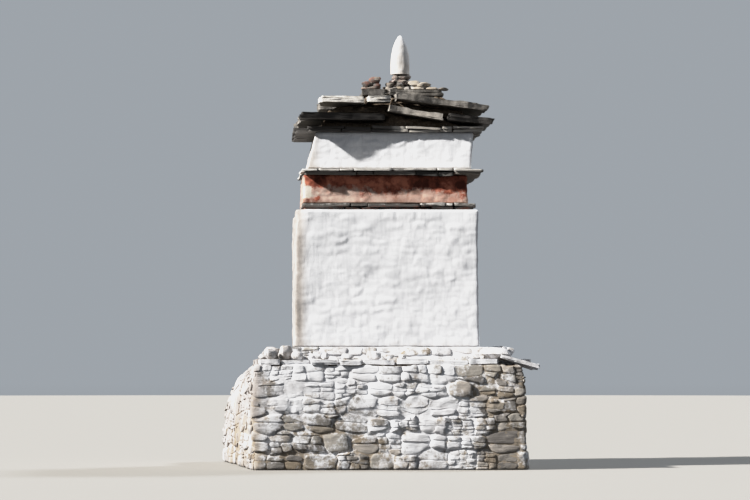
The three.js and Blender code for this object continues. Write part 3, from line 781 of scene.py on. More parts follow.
# %% [markdown]
# The plaster could be a stone by stone job, but it has no edges between them. The choice here is one fine
# skin of points over the whole wall, pushed out where a stone lies and left back at the joints. The skin
# also wanders as a hand-laid wall does, which gives the silhouette its ragged edge.

# %% A plastered skin
JOINT_END = 0.022
HEAD_ROUNDING = 0.02
WANDER = ((0.012, 0.7), (0.006, 0.2), (0.003, 0.06))


def plastered_skin(name, wall, stones, spacing, relief, seed, finish, slot, worn=None, **rules):
    """A closed skin over the wall: stones swell out of it by relief metres, and it rounds in at the head.
    worn gives how much has crumbled off at each point, and each rule gives an attribute from the points."""
    grid_u, grid_z = wall.grid(spacing)
    flat = wall.at(grid_u, grid_z)
    sheet_u = grid_u + noises(flat, seed, (0.014, 0.13), (0.007, 0.05))
    sheet_z = grid_z - bedding_wave(wall, grid_u, grid_z) + 0.012 * noise(flat, 0.1, seed + 2)
    swell, inside = stone_swell(wall, sheet_u, sheet_z, stones, seed)
    curl = HEAD_ROUNDING * (1 + 0.7 * noise(flat[-1:], 0.25, seed + 6))
    head = np.sqrt(np.clip(1 - (1 - np.clip((wall.top - grid_z) / curl, 0, 1)) ** 2, 0, 1))
    proud = relief * (swell - 0.5) + noises(flat, seed + 3, *WANDER) - curl * (1 - head)
    proud -= worn(flat) if worn else 0
    rim_low = wall.at(grid_u[0], grid_z[0], proud[0] - 0.12)[None]
    rim_high = [wall.at(grid_u[-1], grid_z[-1], proud[-1] - step)[None] for step in (0.03, 0.12)]
    points = np.concatenate([rim_low, wall.at(grid_u, grid_z, proud), *rim_high])
    hollow = 1 - smooth(inside, JOINT_START, JOINT_END)
    hollow = np.concatenate([hollow[:1], hollow, hollow[-1:], hollow[-1:]])
    faces = ring_faces(1, *points.shape[:2])
    return add_piece(name, points, faces, finish, slot, [wall.node], 180, hollow=hollow, **rules)


print(f"a skin wanders by up to {1000 * sum(far for far, size in WANDER):.0f} mm")

# %% [markdown]
# Weather tells the sides apart. The left face looks at the sun and the wind, so its lime is worn, and it is
# also painted darker there, as painted shade that holds down the sun on it. Mud splashes up from the ledge
# at the shaft's foot, and the front left corner has lost its edge near the top. Each of these is a rule
# that gives a number for any point of the wall.

# %% The shaft
def sunny_side_wear_and_shade(wall, most):
    """Wear and painted shade on a wall's left face, the one that looks at the sun and the wind: less
    toward its foot.
    """
    left = wall.table[..., 0].min()

    def wear(points):
        on_left = 1 - smooth(points[..., 0], left + 0.06, left + 0.24)
        high = smooth(points[..., 2], wall.bottom - 0.2, wall.bottom + 1.2)
        return most * on_left * (0.84 + 0.08 * high + 0.12 * noise(points, 0.4, 15))

    return wear


def splash_from(height, reach):
    """Mud splashed up from a ledge at height, dying out over reach metres."""
    return lambda points: 0.6 * np.clip(1 - (points[..., 2] - height) / reach, 0, 1)


def crumbled_corner(points):
    """The shaft's front left corner has lost its edge near the top."""
    away = np.hypot(*(points[..., axis] - points[..., axis].min() for axis in range(2)))
    high_up = smooth(points[..., 2], level["shaft"] - 0.38, level["shaft"] - 0.02)
    return 0.085 * (1 - smooth(away, 0.02, 0.2)) * high_up


shaft = plastered_skin(
    "shaft_masonry", shaft_wall, shaft_stones, 0.021, 0.009, 21, limewash, "limewash",
    worn=crumbled_corner, splash=splash_from(level["footing"], 0.3), weathered=sunny_side_wear_and_shade(shaft_wall, 0.95),
)
print(f"{shaft.name}: {triangles(shaft)} triangles")

# %% [markdown]
# The wall above the two strings is rubble under plaster too, so the same steps serve again: break the
# sheet into stones, then lay a skin over it. It stands clear of the ground, so only a little dust from
# the string below has splashed on it.

# %% Head wall
head_wall = Wall("head_wall", level["upper_string"], level["head_wall"], rounding=0.06)
head_stones = lay_rubble(head_wall, (0.22, 0.32), (0.38, 0.18), seed=31)
head_skin = plastered_skin(
    "head_wall_masonry", head_wall, head_stones, 0.02, 0.009, 41, limewash, "limewash",
    splash=splash_from(level["upper_string"], 0.1), weathered=sunny_side_wear_and_shade(head_wall, 0.85),
)
print(f"{head_skin.name}: {triangles(head_skin)} triangles")

# %% [markdown]
# The band between the strings is set back and built of smaller stones, and its plaster is rougher. What
# the ochre shows at a point is again a matter of rules: how far down it lies, how far the rain has got at
# it, and whether the lime brush came by.

# %% Red band
band_wall = Wall("red_band", level["lower_string"], level["band"], rounding=0.06)
band_stones = lay_rubble(band_wall, (0.18, 0.26), (0.32, 0.15), seed=51)


def share_down(points):
    return (level["band"] - points[..., 2]) / (level["band"] - level["lower_string"])


def sheltered_corner(points):
    """1 in the front left corner of the band's foot, where old red has lasted, and 0 elsewhere."""
    low_down = smooth(share_down(points) + 0.1 * noise(points, 0.1, 67), 0.74, 0.86)
    return low_down * smooth(-points[..., 0], 0.9, 1.02)


def down_the_band(points):
    """From 0 under the upper slates to 1 on the lower ones, with a ragged edge that rises to the left."""
    faded = share_down(points) - 0.03 + noises(points, 63, (0.2, 0.42), (0.1, 0.13))
    faded += 0.1 * smooth(-points[..., 0], -0.2, 0.8) + 0.45 * smooth(-points[..., 0], 1.17, 1.21)
    return faded - 0.7 * sheltered_corner(points)


def lime_on_band(points):
    """Limewash brushed over the red at the front left corner, low down."""
    wobble = noise(points, 0.16, 65)
    left_end = smooth(-points[..., 0] + 0.14 * wobble, 0.72, 1.12) * smooth(-points[..., 1], 0.6, 1.0)
    lime = 0.72 * left_end * smooth(share_down(points) + 0.16 * noise(points, 0.2, 66), 0.3, 0.62)
    return lime * (1 - sheltered_corner(points)) + 0.12 * wobble


band_skin = plastered_skin(
    "red_band_masonry", band_wall, band_stones, 0.018, 0.013, 61, red_ochre, "red_ochre",
    faded=down_the_band, limed=lime_on_band,
)
print(f"{band_skin.name}: {triangles(band_skin)} triangles")

# %% [markdown]
# The plinth's and the footing's solids already have their main stones, each with six corners and a raised
# face. The layout is a rule, so it is repeated here on the sheet, and the finer stones come from breaking
# some of the main ones: the joints of the dressed wall then fall where the solid has them.

# %% The solid's own stones
PLINTH_LAYOUT = {"courses": (0, 0.17, 0.35, 0.51, 0.69, 0.84, 1), "stones_a_side": 10, "seed": 1.3}
FOOTING_LAYOUT = {"courses": (0, 0.52, 1), "stones_a_side": 8, "seed": 2.1}
JOINT_STRAY = {"column": 0.36, "row": 0.16, "height": 0.24}
SIDES = ("front", "right", "back", "left")


def uneven(i, seed):
    """The solids' uneven share from -1 to 1 for the i-th stone of a row."""
    spread = math.sin(12.9898 * (i + 1) + 4.1414 * seed) * 43.7585
    return 2 * (spread - math.floor(spread)) - 1


def joint_at(wall, column, row, courses, stones_a_side, seed):
    """The place on the sheet of a joint between the solid's stones."""
    columns_a_side = 2 * stones_a_side
    key = column % (4 * columns_a_side)
    sideways = JOINT_STRAY["column"] * uneven(key, seed) + JOINT_STRAY["row"] * uneven(key, seed + row)
    if key % columns_a_side == 0:
        sideways = 0
    course = courses[row + 1] - courses[row] if 0 < row < len(courses) - 1 else 0
    share = courses[row] + JOINT_STRAY["height"] * course * uneven(key, seed + 20 + row)
    u = (column + sideways) / columns_a_side * wall.length / 4
    return u, wall.bottom + share * (wall.top - wall.bottom)


def lay_stones(wall, layout, stone, size, seed):
    """The solid's stones, broken until none is wider or higher than stone times a random size."""
    rng = np.random.default_rng(seed)
    around = ((0, 0), (1, 0), (2, 0), (2, 1), (1, 1), (0, 1))
    stones = []
    for row in range(len(layout["courses"]) - 1):
        for first in range(row % 2, 8 * layout["stones_a_side"], 2):
            block = [joint_at(wall, first + right, row + up, **layout) for right, up in around]
            scale = rng.uniform(*size)
            stones += break_up(rng, block, stone[0] * scale, stone[1] * scale)
    return stones


plinth_wall = Wall("plinth", 0.0, level["plinth"], rounding=0.04, levels=62)
plinth_stones = lay_stones(plinth_wall, PLINTH_LAYOUT, (0.44, 0.21), (0.45, 1.5), seed=71)
print(f"the plinth is {plinth_wall.length:.2f} m round, with {len(plinth_stones)} stones")

# %% [markdown]
# On the plinth and the footing the stones stand free of the plaster, so each one is a solid of its own.
# Its outline is the broken shape, half a joint smaller, with its corners worn round: a high power blends
# the straight edges into one soft line. Along the head of the wall some joints have lost their mortar.

# %% Wear a stone's outline
STONE_SIDES = 18
ROUNDNESS = 11


def worn_outline(stone, joint):
    """A stone's centre, the points of its outline, worn round and half a joint in, and its half size."""
    normals, corners = edges_of(stone)
    centre = corners.mean(axis=0)
    half = np.abs(corners - centre).max(axis=0)
    turn = 2 * math.pi * np.arange(STONE_SIDES) / STONE_SIDES
    rays = np.stack([half[0] * np.cos(turn), half[1] * np.sin(turn)], axis=1)
    rays /= np.linalg.norm(rays, axis=1, keepdims=True)
    insets = np.maximum(((corners - centre) * normals).sum(axis=1) - joint / 2, 0.008)
    shares = np.clip(rays @ normals.T, 0, None) / insets
    return centre, centre + rays / ((shares ** ROUNDNESS).sum(axis=1) ** (1 / ROUNDNESS))[:, None], half


def gaps_in_joint(points):
    """1 where a long joint has lost its mortar, and 0 where it is full."""
    return smooth(noises(points[..., :2], 17, (1, 0.12), (0.8, 0.7)), 0.0, 0.2)


half = worn_outline(plinth_stones[0], 0.014)[2]
print(f"the plinth's first stone is {2000 * half[0]:.0f} mm wide and {2000 * half[1]:.0f} mm high")

# %% [markdown]
# A stone is a ring solid again. It starts behind the wall face, swells to the stone's outline and closes
# over its front. Two random planes take a facet off the face, so that it looks quarried and not like a
# pillow, and noise dents it.

# %% Stones in a wall
#                 share of the outline, share of how far the stone stands proud
STONE_PROFILE = ((0.80, None), (0.985, 0.0), (1.0, 0.5), (0.955, 0.87), (0.83, 1.0), (0.5, 1.03), (0.2, 1.04))
STONE_DEPTH = 0.06
JOINT_DEPTH = 0.022
CHIPPED_AWAY = 0.11


def wall_stones(name, wall, stones, proud, joint, seed, wash, side=None, open_head=0.0, **rules):
    """The stones of one side of a wall, or of all with side None, as closed solids standing proud of it.
    open_head is how wide the joint over the top course gapes. wash and each rule give an attribute."""
    rng = np.random.default_rng(seed)
    if side is not None:
        quarter = wall.length / 4
        stones = [s for s in stones if int(np.mean([c[0] for c in s]) % wall.length // quarter) == side]
    centre, outline, half = (np.array(part) for part in zip(*(worn_outline(s, joint) for s in stones)))
    centre, half, count = centre[:, None], half[:, None], len(stones)
    outline = centre + (outline - centre) * (1 - CHIPPED_AWAY * rng.uniform(0, 1, (count, STONE_SIDES, 1)))
    stands = rng.uniform(*proud, (count, 1))
    tilt = rng.uniform(-0.3, 0.3, (count, 1, 2))
    facets = rng.uniform(0, 2 * math.pi, (count, 2, 1))
    steep = rng.uniform(0.0, 0.75, (count, 2, 1))
    rings = []
    for share, height in STONE_PROFILE:
        place = centre + (outline - centre) * share
        local = (place - centre) / half
        z = np.clip(place[..., 1], wall.bottom, wall.top)
        depth = -STONE_DEPTH
        if height is not None:
            face = height + (local * tilt).sum(axis=-1) * min(height, 1)
            for turn, slope in zip(facets.swapaxes(0, 1), steep.swapaxes(0, 1)):
                aim = np.concatenate([np.cos(turn), np.sin(turn)], axis=1)[:, None]
                face = np.minimum(face, 1.08 - slope * np.clip((local * aim).sum(axis=-1) - 0.1, 0, 1))
            depth = stands * face - JOINT_DEPTH * (height == 0.0)
        rings.append(wall.at(place[..., 0], z, depth))
    points = np.stack(rings, axis=1)
    outward = wall.sample(wall.outward, centre[:, 0, 0], centre[:, 0, 1])[:, None, None, :]
    points += outward * (noises(points, seed + 1, (0.008, 0.1), (0.005, 0.045)) - 0.006)[..., None]
    points[..., 2] = np.clip(points[..., 2], wall.bottom, wall.top - open_head * gaps_in_joint(points))
    tone = np.broadcast_to(rng.uniform(0, 1, (count, 1, 1)), points.shape[:-1])
    washed = wash(points) + rng.uniform(-0.09, 0.09, (count, 1, 1))
    faces = ring_faces(count, len(STONE_PROFILE), STONE_SIDES)
    return add_piece(
        name, points, faces, worn_limewash, "worn_limewash", (), 55, tone=tone, wash=washed, **rules,
    )


print(f"a stone has {len(STONE_PROFILE)} rings of {STONE_SIDES} points")

# %% [markdown]
# Lime lasts where the weather is kind. On the plinth it is fullest high up and on the left face, which the
# brush reached well. It has gone near the ground, where earth splashes up, and from the right end of the
# front, and it is thinner on a patch by the front left corner.

# %% Lime and earth on the plinth
def on_left_face(points):
    """1 on the plinth's left face, which the brush reached well, and 0 on the others."""
    return smooth(-points[..., 0], 1.72, 1.95)


def faces_left(points):
    """1 on the left face of a square block round the origin, and 0 on the others."""
    return smooth(-points[..., 0] - np.abs(points[..., 1]), -0.02, 0.06)


def bare_end(points):
    """1 at the right end of the plinth's front, where the lime has gone, and 0 elsewhere."""
    return smooth(points[..., 0], 1.12, 1.5) * smooth(-points[..., 1], 1.2, 1.7)


def plinth_wash(points):
    """Limewash left on the plinth: most of it high up, in patches, and little at its front right end."""
    height = points[..., 2] / level["plinth"]
    front_left_patch = smooth(-points[..., 0], 1.58, 1.68) * smooth(height, 0.5, 0.6) * (1 - smooth(height, 0.84, 0.9))
    patches = 0.19 * noise(points, 0.5, 5) + 0.15 * noise(points, 0.17, 9)
    kept = 0.455 + 0.17 * height + 0.09 * on_left_face(points) + patches
    bare = bare_end(points) * (0.14 + 0.12 * smooth(height, 0.5, 0.7))
    return kept - bare - 0.2 * front_left_patch * (1 - on_left_face(points))


def plinth_splash(points):
    """Earth on the plinth: most of it near the ground, in streaks down the left face and at the bare end."""
    height = points[..., 2] / level["plinth"]
    streaks = on_left_face(points) * (0.12 + 0.75 * noise(points * [1, 1, 0.15], 0.2, 10))
    bare = 0.4 * bare_end(points) * smooth(height, 0.5, 0.7)
    return 0.4 - 0.8 * height + streaks + bare + 0.2 * noise(points, 0.45, 6)


# Wear and painted shade on the plinth's left face, which the sun lights most.
def plinth_wear_and_shade(points):
    return on_left_face(points) * (0.74 + 0.36 * noise(points * [1, 1, 0.3], 0.25, 16))


foot, head = plinth_wash(np.array([(0, -2, 0), (0, -2, level["plinth"])]))
print(f"the lime rule gives {foot:.2f} at the front's foot and {head:.2f} at its head")

# %% [markdown]
# The plinth is dressed side by side, so that each one can have joints of its own width. The front's are
# the tightest.

# %% The plinth's stones
#               how far the stones stand proud, how wide their joints are
PLINTH_LOOKS = (
    ((-0.004, 0.016), 0.013), ((-0.004, 0.018), 0.014), ((-0.004, 0.018), 0.014), ((-0.004, 0.02), 0.014),
)
plinth_total = 0
for side, (side_name, (proud, joint)) in enumerate(zip(SIDES, PLINTH_LOOKS)):
    piece = wall_stones(
        f"plinth_stones_{side_name}", plinth_wall, plinth_stones, proud, joint, 81 + side, plinth_wash, side,
        open_head=0.035, splash=plinth_splash, weathered=plinth_wear_and_shade,
    )
    plinth_total += triangles(piece)
print(f"{len(plinth_stones)} plinth stones, {plinth_total} triangles")

# %% [markdown]
# Behind the stones lies the mud they are bedded in. It fills the joints to a finger's depth below the
# faces, in places almost flush, and the brush has pushed lime into it. A skin of its own does it, a little
# behind the stones.

# %% Bedding behind the stones
def bedding_skin(name, wall, spacing, back, seed, open_head=0.0):
    """A closed skin back metres behind the wall's face, and open_head more where the head joint gapes."""
    grid_u, grid_z = wall.grid(spacing)
    flat = wall.at(grid_u, grid_z)
    full = smooth(noise(flat, 0.5, seed + 2), 0.0, 0.5) + 0.3 * on_left_face(flat)
    gape = open_head * gaps_in_joint(flat) * (grid_z > wall.top - 0.5 * spacing)
    proud = noises(flat, seed, (0.006, 0.12), (0.004, 0.05)) - back * (1 - 0.6 * np.clip(full, 0, 1)) - gape
    lids = [wall.at(grid_u[row], grid_z[row], proud[row] - 0.3)[None] for row in (0, -1)]
    points = np.concatenate([lids[0], wall.at(grid_u, grid_z, proud), lids[1]])
    bare = 0.5 * np.concatenate([gape[:1] * 0, gape, gape[-1:]]) / max(open_head, 0.001)
    return add_piece(
        name, points, ring_faces(1, *points.shape[:2]), worn_limewash, "worn_limewash", [wall.node], 60,
        tone=0.5, wash=plinth_wash(points) + 0.05 - bare, weathered=plinth_wear_and_shade,
        # On the left face the joints get extra earth colour: partly earth, and partly painted shade that
        # gives them depth under the flat sun.
        splash=plinth_splash(points) + 0.35 * on_left_face(points),
    )


plinth_bedding = bedding_skin("plinth_bedding", plinth_wall, 0.035, 0.016, 91, 0.05)
print(f"{plinth_bedding.name}: {triangles(plinth_bedding)} triangles")

# %% [markdown]
# The footing is a low step of the same masonry, two courses high, and takes the same two steps: stones,
# and a bedding behind them. Its lime is fuller than the plinth's, as it gets brushed with the shaft.

# %% Footing
footing_wall = Wall("footing", level["plinth"], level["footing"], rounding=0.04, levels=14)
footing_layout = lay_stones(footing_wall, FOOTING_LAYOUT, (0.4, 0.16), (0.6, 1.3), seed=101)
# Its left face gets wear and painted shade, as the sun lights it most.
footing_stones = wall_stones(
    "footing_stones", footing_wall, footing_layout, (-0.002, 0.018), 0.012, 111,
    wash=lambda points: 0.52 + 0.15 * noise(points, 0.3, 7),
    splash=lambda points: 0.22 + 0.3 * noise(points, 0.4, 8),
    weathered=lambda points: 0.8 * faces_left(points),
)
footing_bedding = bedding_skin("footing_bedding", footing_wall, 0.045, 0.018, 112)
for piece in (footing_stones, footing_bedding):
    print(f"{piece.name}: {triangles(piece)} triangles")

# %% [markdown]
# Slate splits into plates. A hand-split one has a broken rim in three or four layers, each snapped off
# at its own line, and faces that ripple a little and lose a flake here and there. The ring solid for it
# climbs the rim layer by layer, with two rings to a layer, so the ledges between layers are real.

# %% Split a slab
FACE_SHARES = (0.97, 0.88, 0.7, 0.45, 0.18)
#                in metres: the greatest chip off the rim, its finer teeth, a layer's own step
CHIP, TEETH, STEP = 0.032, 0.006, 0.006


def split_slab(outline, thickness, seed, spacing=0.045, layers=3, ragged=1.0, undercut=0.0):
    """Rings of points of a split slab that lies on z = 0, with its plan inside the outline. The last
    column says how near the rim a point is. undercut is how far the rim leans in at its foot."""
    rng = np.random.default_rng(seed)
    rim = evenly(np.array([*outline, outline[0]], float), spacing=spacing)
    rim = rim / 2 + np.roll(rim, 1, axis=0) / 4 + np.roll(rim, -1, axis=0) / 4
    along = np.roll(rim, -1, axis=0) - np.roll(rim, 1, axis=0)
    outward = np.stack([along[:, 1], -along[:, 0]], axis=1)
    outward /= np.linalg.norm(outward, axis=1, keepdims=True) + 1e-9
    middle = rim.mean(axis=0)
    chips = CHIP * np.clip(noise(rim, 0.24, seed) - 0.2, 0, 1) + TEETH * np.abs(noise(rim, 0.06, seed + 1))
    heights = np.sort(np.concatenate([[0, 1], rng.uniform(0.15, 0.85, layers - 1)])) * thickness
    rings = []
    for layer in range(layers):
        snapped = STEP * (1 + noise(rim, 0.18, seed + 10 + layer)) + STEP * rng.uniform()
        for height in heights[layer:layer + 2]:
            inward = ragged * (chips + snapped) + undercut * (1 - height / thickness)
            rings.append((rim - outward * inward[:, None], (height, 1.0)))
    first, last = rings[0][0], rings[-1][0]
    rings = [(middle + (first - middle) * share, (0.0, 0.0)) for share in reversed(FACE_SHARES)] + rings
    rings += [(middle + (last - middle) * share, (thickness, 0.0)) for share in FACE_SHARES]
    points = np.stack([np.column_stack([plan, np.full((len(plan), 2), rest)]) for plan, rest in rings])
    warp = 0.008 * noise(points[..., :2], 0.35, seed + 3)
    face = noise(points[..., :3], 0.09, seed + 4)
    upper = points[..., 2] / thickness
    flakes = 0.14 * thickness * smooth(noise(points[..., :2], 0.3, seed + 5), 0.1, 0.25) * (upper > 0.99)
    points[..., 2] += warp + 0.003 * face * (upper - 0.5) * 2 - flakes
    return points


sample = split_slab([(0, 0), (0.6, 0), (0.6, 0.4), (0, 0.4)], 0.05, seed=1)
print(f"a 600 x 400 mm slate has {sample.shape[0]} rings of {sample.shape[1]} points")

# %% [markdown]
# Slates and loose stones come by the dozen, so a course or a heap of them is one piece. Every stone in it
# gets a tone of its own, at random between a darkest and a palest one. On slates the rim is marked as
# well, since that is where a break shows fresh and pale.

# %% Many stones as one piece
RIM = 3


def gathered(solids, column):
    """One column of all the points of many solids: 0, 1 and 2 for x, y and z, and RIM for a slab's rim."""
    return np.concatenate([rings[..., column].ravel() for rings in solids])


def add_stones(
    name, solids, seed, stands_for=(), finish=slate, slot="slate", tones=(0, 1), sharp=40, **attributes,
):
    """Slates or loose stones as one piece, each with a random tone of its own between the two."""
    points, faces, owner = join_solids(solids)
    tone = np.random.default_rng(seed).uniform(*tones, len(solids))[owner]
    return add_piece(name, points, faces, finish, slot, stands_for, sharp, tone=tone, **attributes)


def add_slates(node, solids, seed, pale=1.0, **rest):
    """Slates in place of a node's solid. pale is how pale their rims are: fresh breaks, and in
    places painted light.
    """
    edge = pale * gathered(solids, RIM)
    return add_stones(f"{node}_slates", solids, seed, [node], sharp=35, edge=edge, **rest)


print(f"{gathered([sample], RIM).mean():.0%} of the sample slate's points lie on its rim")

# %% [markdown]
# The four sides carry the same courses, so each is worked as if it were the front and then turned into
# place. Slates are laid side by side from one corner to the next, each with its own width, reach and
# slight tilt.

# %% Lay a row of slates
TURNS = dict(zip(SIDES, (0, 90, 180, 270)))
LAP = 0.006


def turned(points, degrees):
    """Points turned about the vertical axis."""
    angle = math.radians(degrees)
    points = np.array(points, float)
    x, y = points[..., 0].copy(), points[..., 1].copy()
    points[..., 0] = x * math.cos(angle) - y * math.sin(angle)
    points[..., 1] = x * math.sin(angle) + y * math.cos(angle)
    return points


def front_box(node, degrees):
    """The box of a side's node, as it would lie if its side were turned to the front."""
    corners = turned(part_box(node), -degrees)
    return corners.min(axis=0), corners.max(axis=0)


def slate_row(low, high, courses, width, seed, jag=0.012, ragged=0.5):
    """Slates side by side along the front of a box: courses gives each course's bottom, top and setback.
    jag is how unevenly they reach forward, and their ragged ends run into each other by LAP."""
    rng = np.random.default_rng(seed)
    solids = []
    for bottom, top, setback in courses:
        left = low[0] + setback
        while left < high[0] - 0.02:
            right = min(left + rng.uniform(*width), high[0])
            if high[0] - right < width[0] / 2:
                right = high[0]
            front = low[1] + setback + jag * rng.uniform(-0.6, 0.6)
            skew, slant = rng.uniform(-0.012, 0.012), rng.uniform(-0.02, 0.02)
            outline = [
                (left - LAP, high[1]), (left - LAP + max(slant, 0), front + skew),
                (right + LAP + min(slant, 0), front - skew), (right + LAP, high[1]),
            ]
            thin = rng.uniform(0.75, 1.0)
            rings = split_slab(outline, (top - bottom) * thin, rng.integers(1e6), 0.032, 2, ragged)
            droop, lean = rng.uniform(-0.01, 0.05), rng.uniform(-0.03, 0.03)
            rings[..., 2] += bottom + droop * (rings[..., 1] - high[1])
            rings[..., 2] += lean * (rings[..., 0] - (left + right) / 2)
            solids.append(rings)
            left = right
    return solids


row = slate_row((-1, -1, 0), (1, -0.7, 0.05), ((0, 0.05, 0),), (0.2, 0.8), seed=1)
print(f"a row 2 m long takes {len(row)} slates")

# %% [markdown]
# Each string course is two courses of thin slates. The upper one throws the rain clear of the wall, the
# lower one props it from behind. The painters were not careful: limewash from the wall above and red from
# the band have run onto them.

# %% String courses
#          course: share of the lower slates' height, lime and red that ran onto it, seed
STRINGS = {"lower_string": (0.52, 0.42, 0.3, 200), "upper_string": (0.58, 1.2, 0.1, 260)}
for course_name, (share, lime, red, first_seed) in STRINGS.items():
    for side_name, degrees in TURNS.items():
        node = f"{course_name}_{side_name}"
        low, high = front_box(node, degrees)
        split_at = low[2] + (high[2] - low[2]) * share
        rows = ((low[2], split_at, 0.04), (split_at + 0.002, high[2], 0.0))
        seed = first_seed + degrees
        slates = slate_row(low, high, rows, (0.2, 0.8), seed, 0.022, 0.35)
        solids = [turned(rings, degrees) for rings in slates]
        above = smooth(gathered(solids, 2), split_at - 0.004, split_at + 0.012)
        splashes = np.random.default_rng(seed + 1).uniform(0.3, 1.3, len(solids))
        above *= np.repeat(splashes, [rings[..., 2].size for rings in solids])
        piece = add_slates(node, solids, seed, pale=0.5, lime=lime * above, red=red * (1.2 - above))
    print(f"{course_name}: about {len(solids)} slates a side, {triangles(piece)} triangles")

# %% [markdown]
# The big roof slabs were lifted up whole and laid as they came. Their place and tilt are the solids' own,
# so each is read off its solid: the flat top face gives the plan, and its normal gives the tilt.

# %% Read a slab's plan off its solid
def slab_frame(node):
    """Origin, axes (as rows), outline and thickness of the slab that a node holds."""
    bm = bmesh.new()
    bm.from_mesh(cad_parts[node].data)
    bmesh.ops.remove_doubles(bm, verts=bm.verts, dist=1e-4)
    bmesh.ops.dissolve_limit(bm, angle_limit=math.radians(1), verts=bm.verts, edges=bm.edges)
    top = max((face for face in bm.faces if face.normal.z > 0.5), key=lambda face: face.calc_area())
    normal = np.array(top.normal)
    corners = np.array([vertex.co for vertex in top.verts])
    depth = (corners @ normal).mean() - min(np.array(vertex.co) @ normal for vertex in bm.verts)
    bm.free()
    along = np.cross([0, 1, 0], normal)
    along /= np.linalg.norm(along)
    axes = np.array([along, np.cross(normal, along), normal])
    origin = corners.mean(axis=0) - normal * depth
    return origin, axes, (corners - origin) @ axes[:2].T, depth


_, axes, _, thick = slab_frame("eave_slab_front_left")
tip = math.degrees(math.acos(axes[2, 2]))
print(f"the front left eave slab is {1000 * thick:.0f} mm thick and tips by {tip:.1f} degrees")

# %% [markdown]
# One or two split slabs then fill that space. The slabs that show most have looks of their own: how far
# the rim leans in at its foot, how ragged it is, how dark the stone and how pale the break. The lowest at
# the left is painted nearly black, as painted shade under the slabs above it. The two above it carry lime
# on their rims, which also paints light on edges that lie partly in shade. The two at the front right are
# painted paler, as painted light on their shaded undersides.

# %% Roof slabs
ROOF_SLABS = ("eave_slab", "upper_slab", "crown_slab")
PLAIN_LOOK = (0.01, 1.7, (0.2, 0.8), 0.8, 0.0)
#                         slabs, undercut, ragged rim, darkest and palest tone, pale rim, lime
SLAB_LOOKS = {
    # nearly black: painted shade under the slabs above
    "eave_slab_front_left": (2, 0.01, 0.8, (0.0, 0.12), 0.1, 0.0),
    "eave_slab_left_front": (2, 0.0, 1.7, (0.3, 0.6), 0.9, 0.1),
    # pale tones: painted light on a shaded underside
    "eave_slab_front_right": (1, 0.0, 1.7, (0.8, 0.95), 0.95, 0.0),
    "eave_slab_right_front": (2, 0.02, 1.7, (0.1, 0.4), 0.5, 0.0),
    # lime on the rims of these two also paints light on edges that lie partly in shade
    "upper_slab_left_front": (2, 0.0, 1.7, (0.5, 0.75), 1.3, 0.5),
    "upper_slab_front_left": (2, 0.0, 1.7, (0.5, 0.75), 1.3, 0.5),
    # pale tones: painted light on a shaded underside
    "upper_slab_front_right": (1, 0.03, 1.7, (0.65, 0.85), 0.9, 0.1),
}


def slab_stack(node, seed, count, undercut, ragged):
    """Split slabs, count of them, stacked in the space of a node's slab."""
    origin, axes, outline, depth = slab_frame(node)
    rng = np.random.default_rng(seed)
    cuts = np.concatenate([[0], np.cumsum(rng.uniform(0.6, 1.4, count))])
    cuts = cuts / cuts[-1] * depth
    middle = outline.mean(axis=0)
    solids = []
    for layer in range(count):
        inward = (rng.uniform(0.0, 0.05), rng.uniform(-0.02, 0.02, 2)) if layer else (0, 0)
        plan = middle + (outline - middle) * (1 - inward[0]) + inward[1]
        thick = cuts[layer + 1] - cuts[layer] - 0.003
        rings = split_slab(plan, thick, rng.integers(1e6), 0.036, 4 - count, ragged, undercut)
        rings[..., 2] += cuts[layer]
        rings[..., :3] = rings[..., :3] @ axes + origin
        solids.append(rings)
    return solids


roof_nodes = sorted(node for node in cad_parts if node.startswith(ROOF_SLABS))
roof_total = 0
for number, node in enumerate(roof_nodes):
    count, undercut, ragged, tones, pale, lime = SLAB_LOOKS.get(node, (1 + number % 2, *PLAIN_LOOK))
    solids = slab_stack(node, 300 + 7 * number, count, undercut, ragged)
    # Lime on the rims. On the upper left slabs it also paints light on edges in partial shade.
    drips = lime * gathered(solids, RIM)
    piece = add_slates(node, solids, 400 + number, tones=tones, pale=pale, lime=drips, red=0.0)
    roof_total += triangles(piece)
print(f"{len(roof_nodes)} roof slabs, {roof_total} triangles")

# %% [markdown]
# The slates on the wall's head are laid like a string course, only bigger. Their rims are painted paler
# toward the right than toward the left, as painted light on rims that lie in the eaves' shade there.

# %% Bed slabs
for side_name, degrees in TURNS.items():
    node = f"bed_slabs_{side_name}"
    low, high = front_box(node, degrees)
    split_at = low[2] + (high[2] - low[2]) * 0.5
    rows = ((low[2], split_at, 0.02), (split_at + 0.003, high[2], 0.0))
    slates = slate_row(low, high, rows, (0.3, 0.6), 500 + degrees, 0.01, 0.4)
    solids = [turned(rings, degrees) for rings in slates]
    # Paler rims toward the right: painted light on rims that lie in the eaves' shade.
    pale = 0.5 + 1.1 * smooth(gathered(solids, 0), 0.0, 0.25)
    piece = add_slates(node, solids, 510 + degrees, tones=(0.1, 0.6), pale=pale, lime=0.1, red=0.0)
print(f"bed slabs: about {len(solids)} slates a side, {triangles(piece)} triangles")

# %% [markdown]
# The flags on the plinth's ledge lie the same way, but they have been limewashed with the walls so often
# that they are more lime than slate, and one at the right has tipped. So that they stay on the solids
# they stand for, each flag is dropped onto the top of its solid, found by shooting a ray down at it.

# %% Ledge flags
STRAIGHT_DOWN = Vector((0, 0, -1))
FLAG_THICKNESS = 0.08


def drop_onto(tree, rings, high_z):
    """Moves a flat slab's points so that its top follows the solid below. A point past the solid's edge
    goes down as far as the solid does on the way from there to the slab's middle."""
    middle = rings[..., :2].mean(axis=(0, 1))
    for point in rings.reshape(-1, rings.shape[-1]):
        for share in np.linspace(0, 0.9, 31):
            x, y = point[:2] + (middle - point[:2]) * share
            hit = tree.ray_cast(Vector((x, y, high_z + 1)), STRAIGHT_DOWN)[0]
            if hit:
                point[2] += hit.z - high_z
                break
    return rings


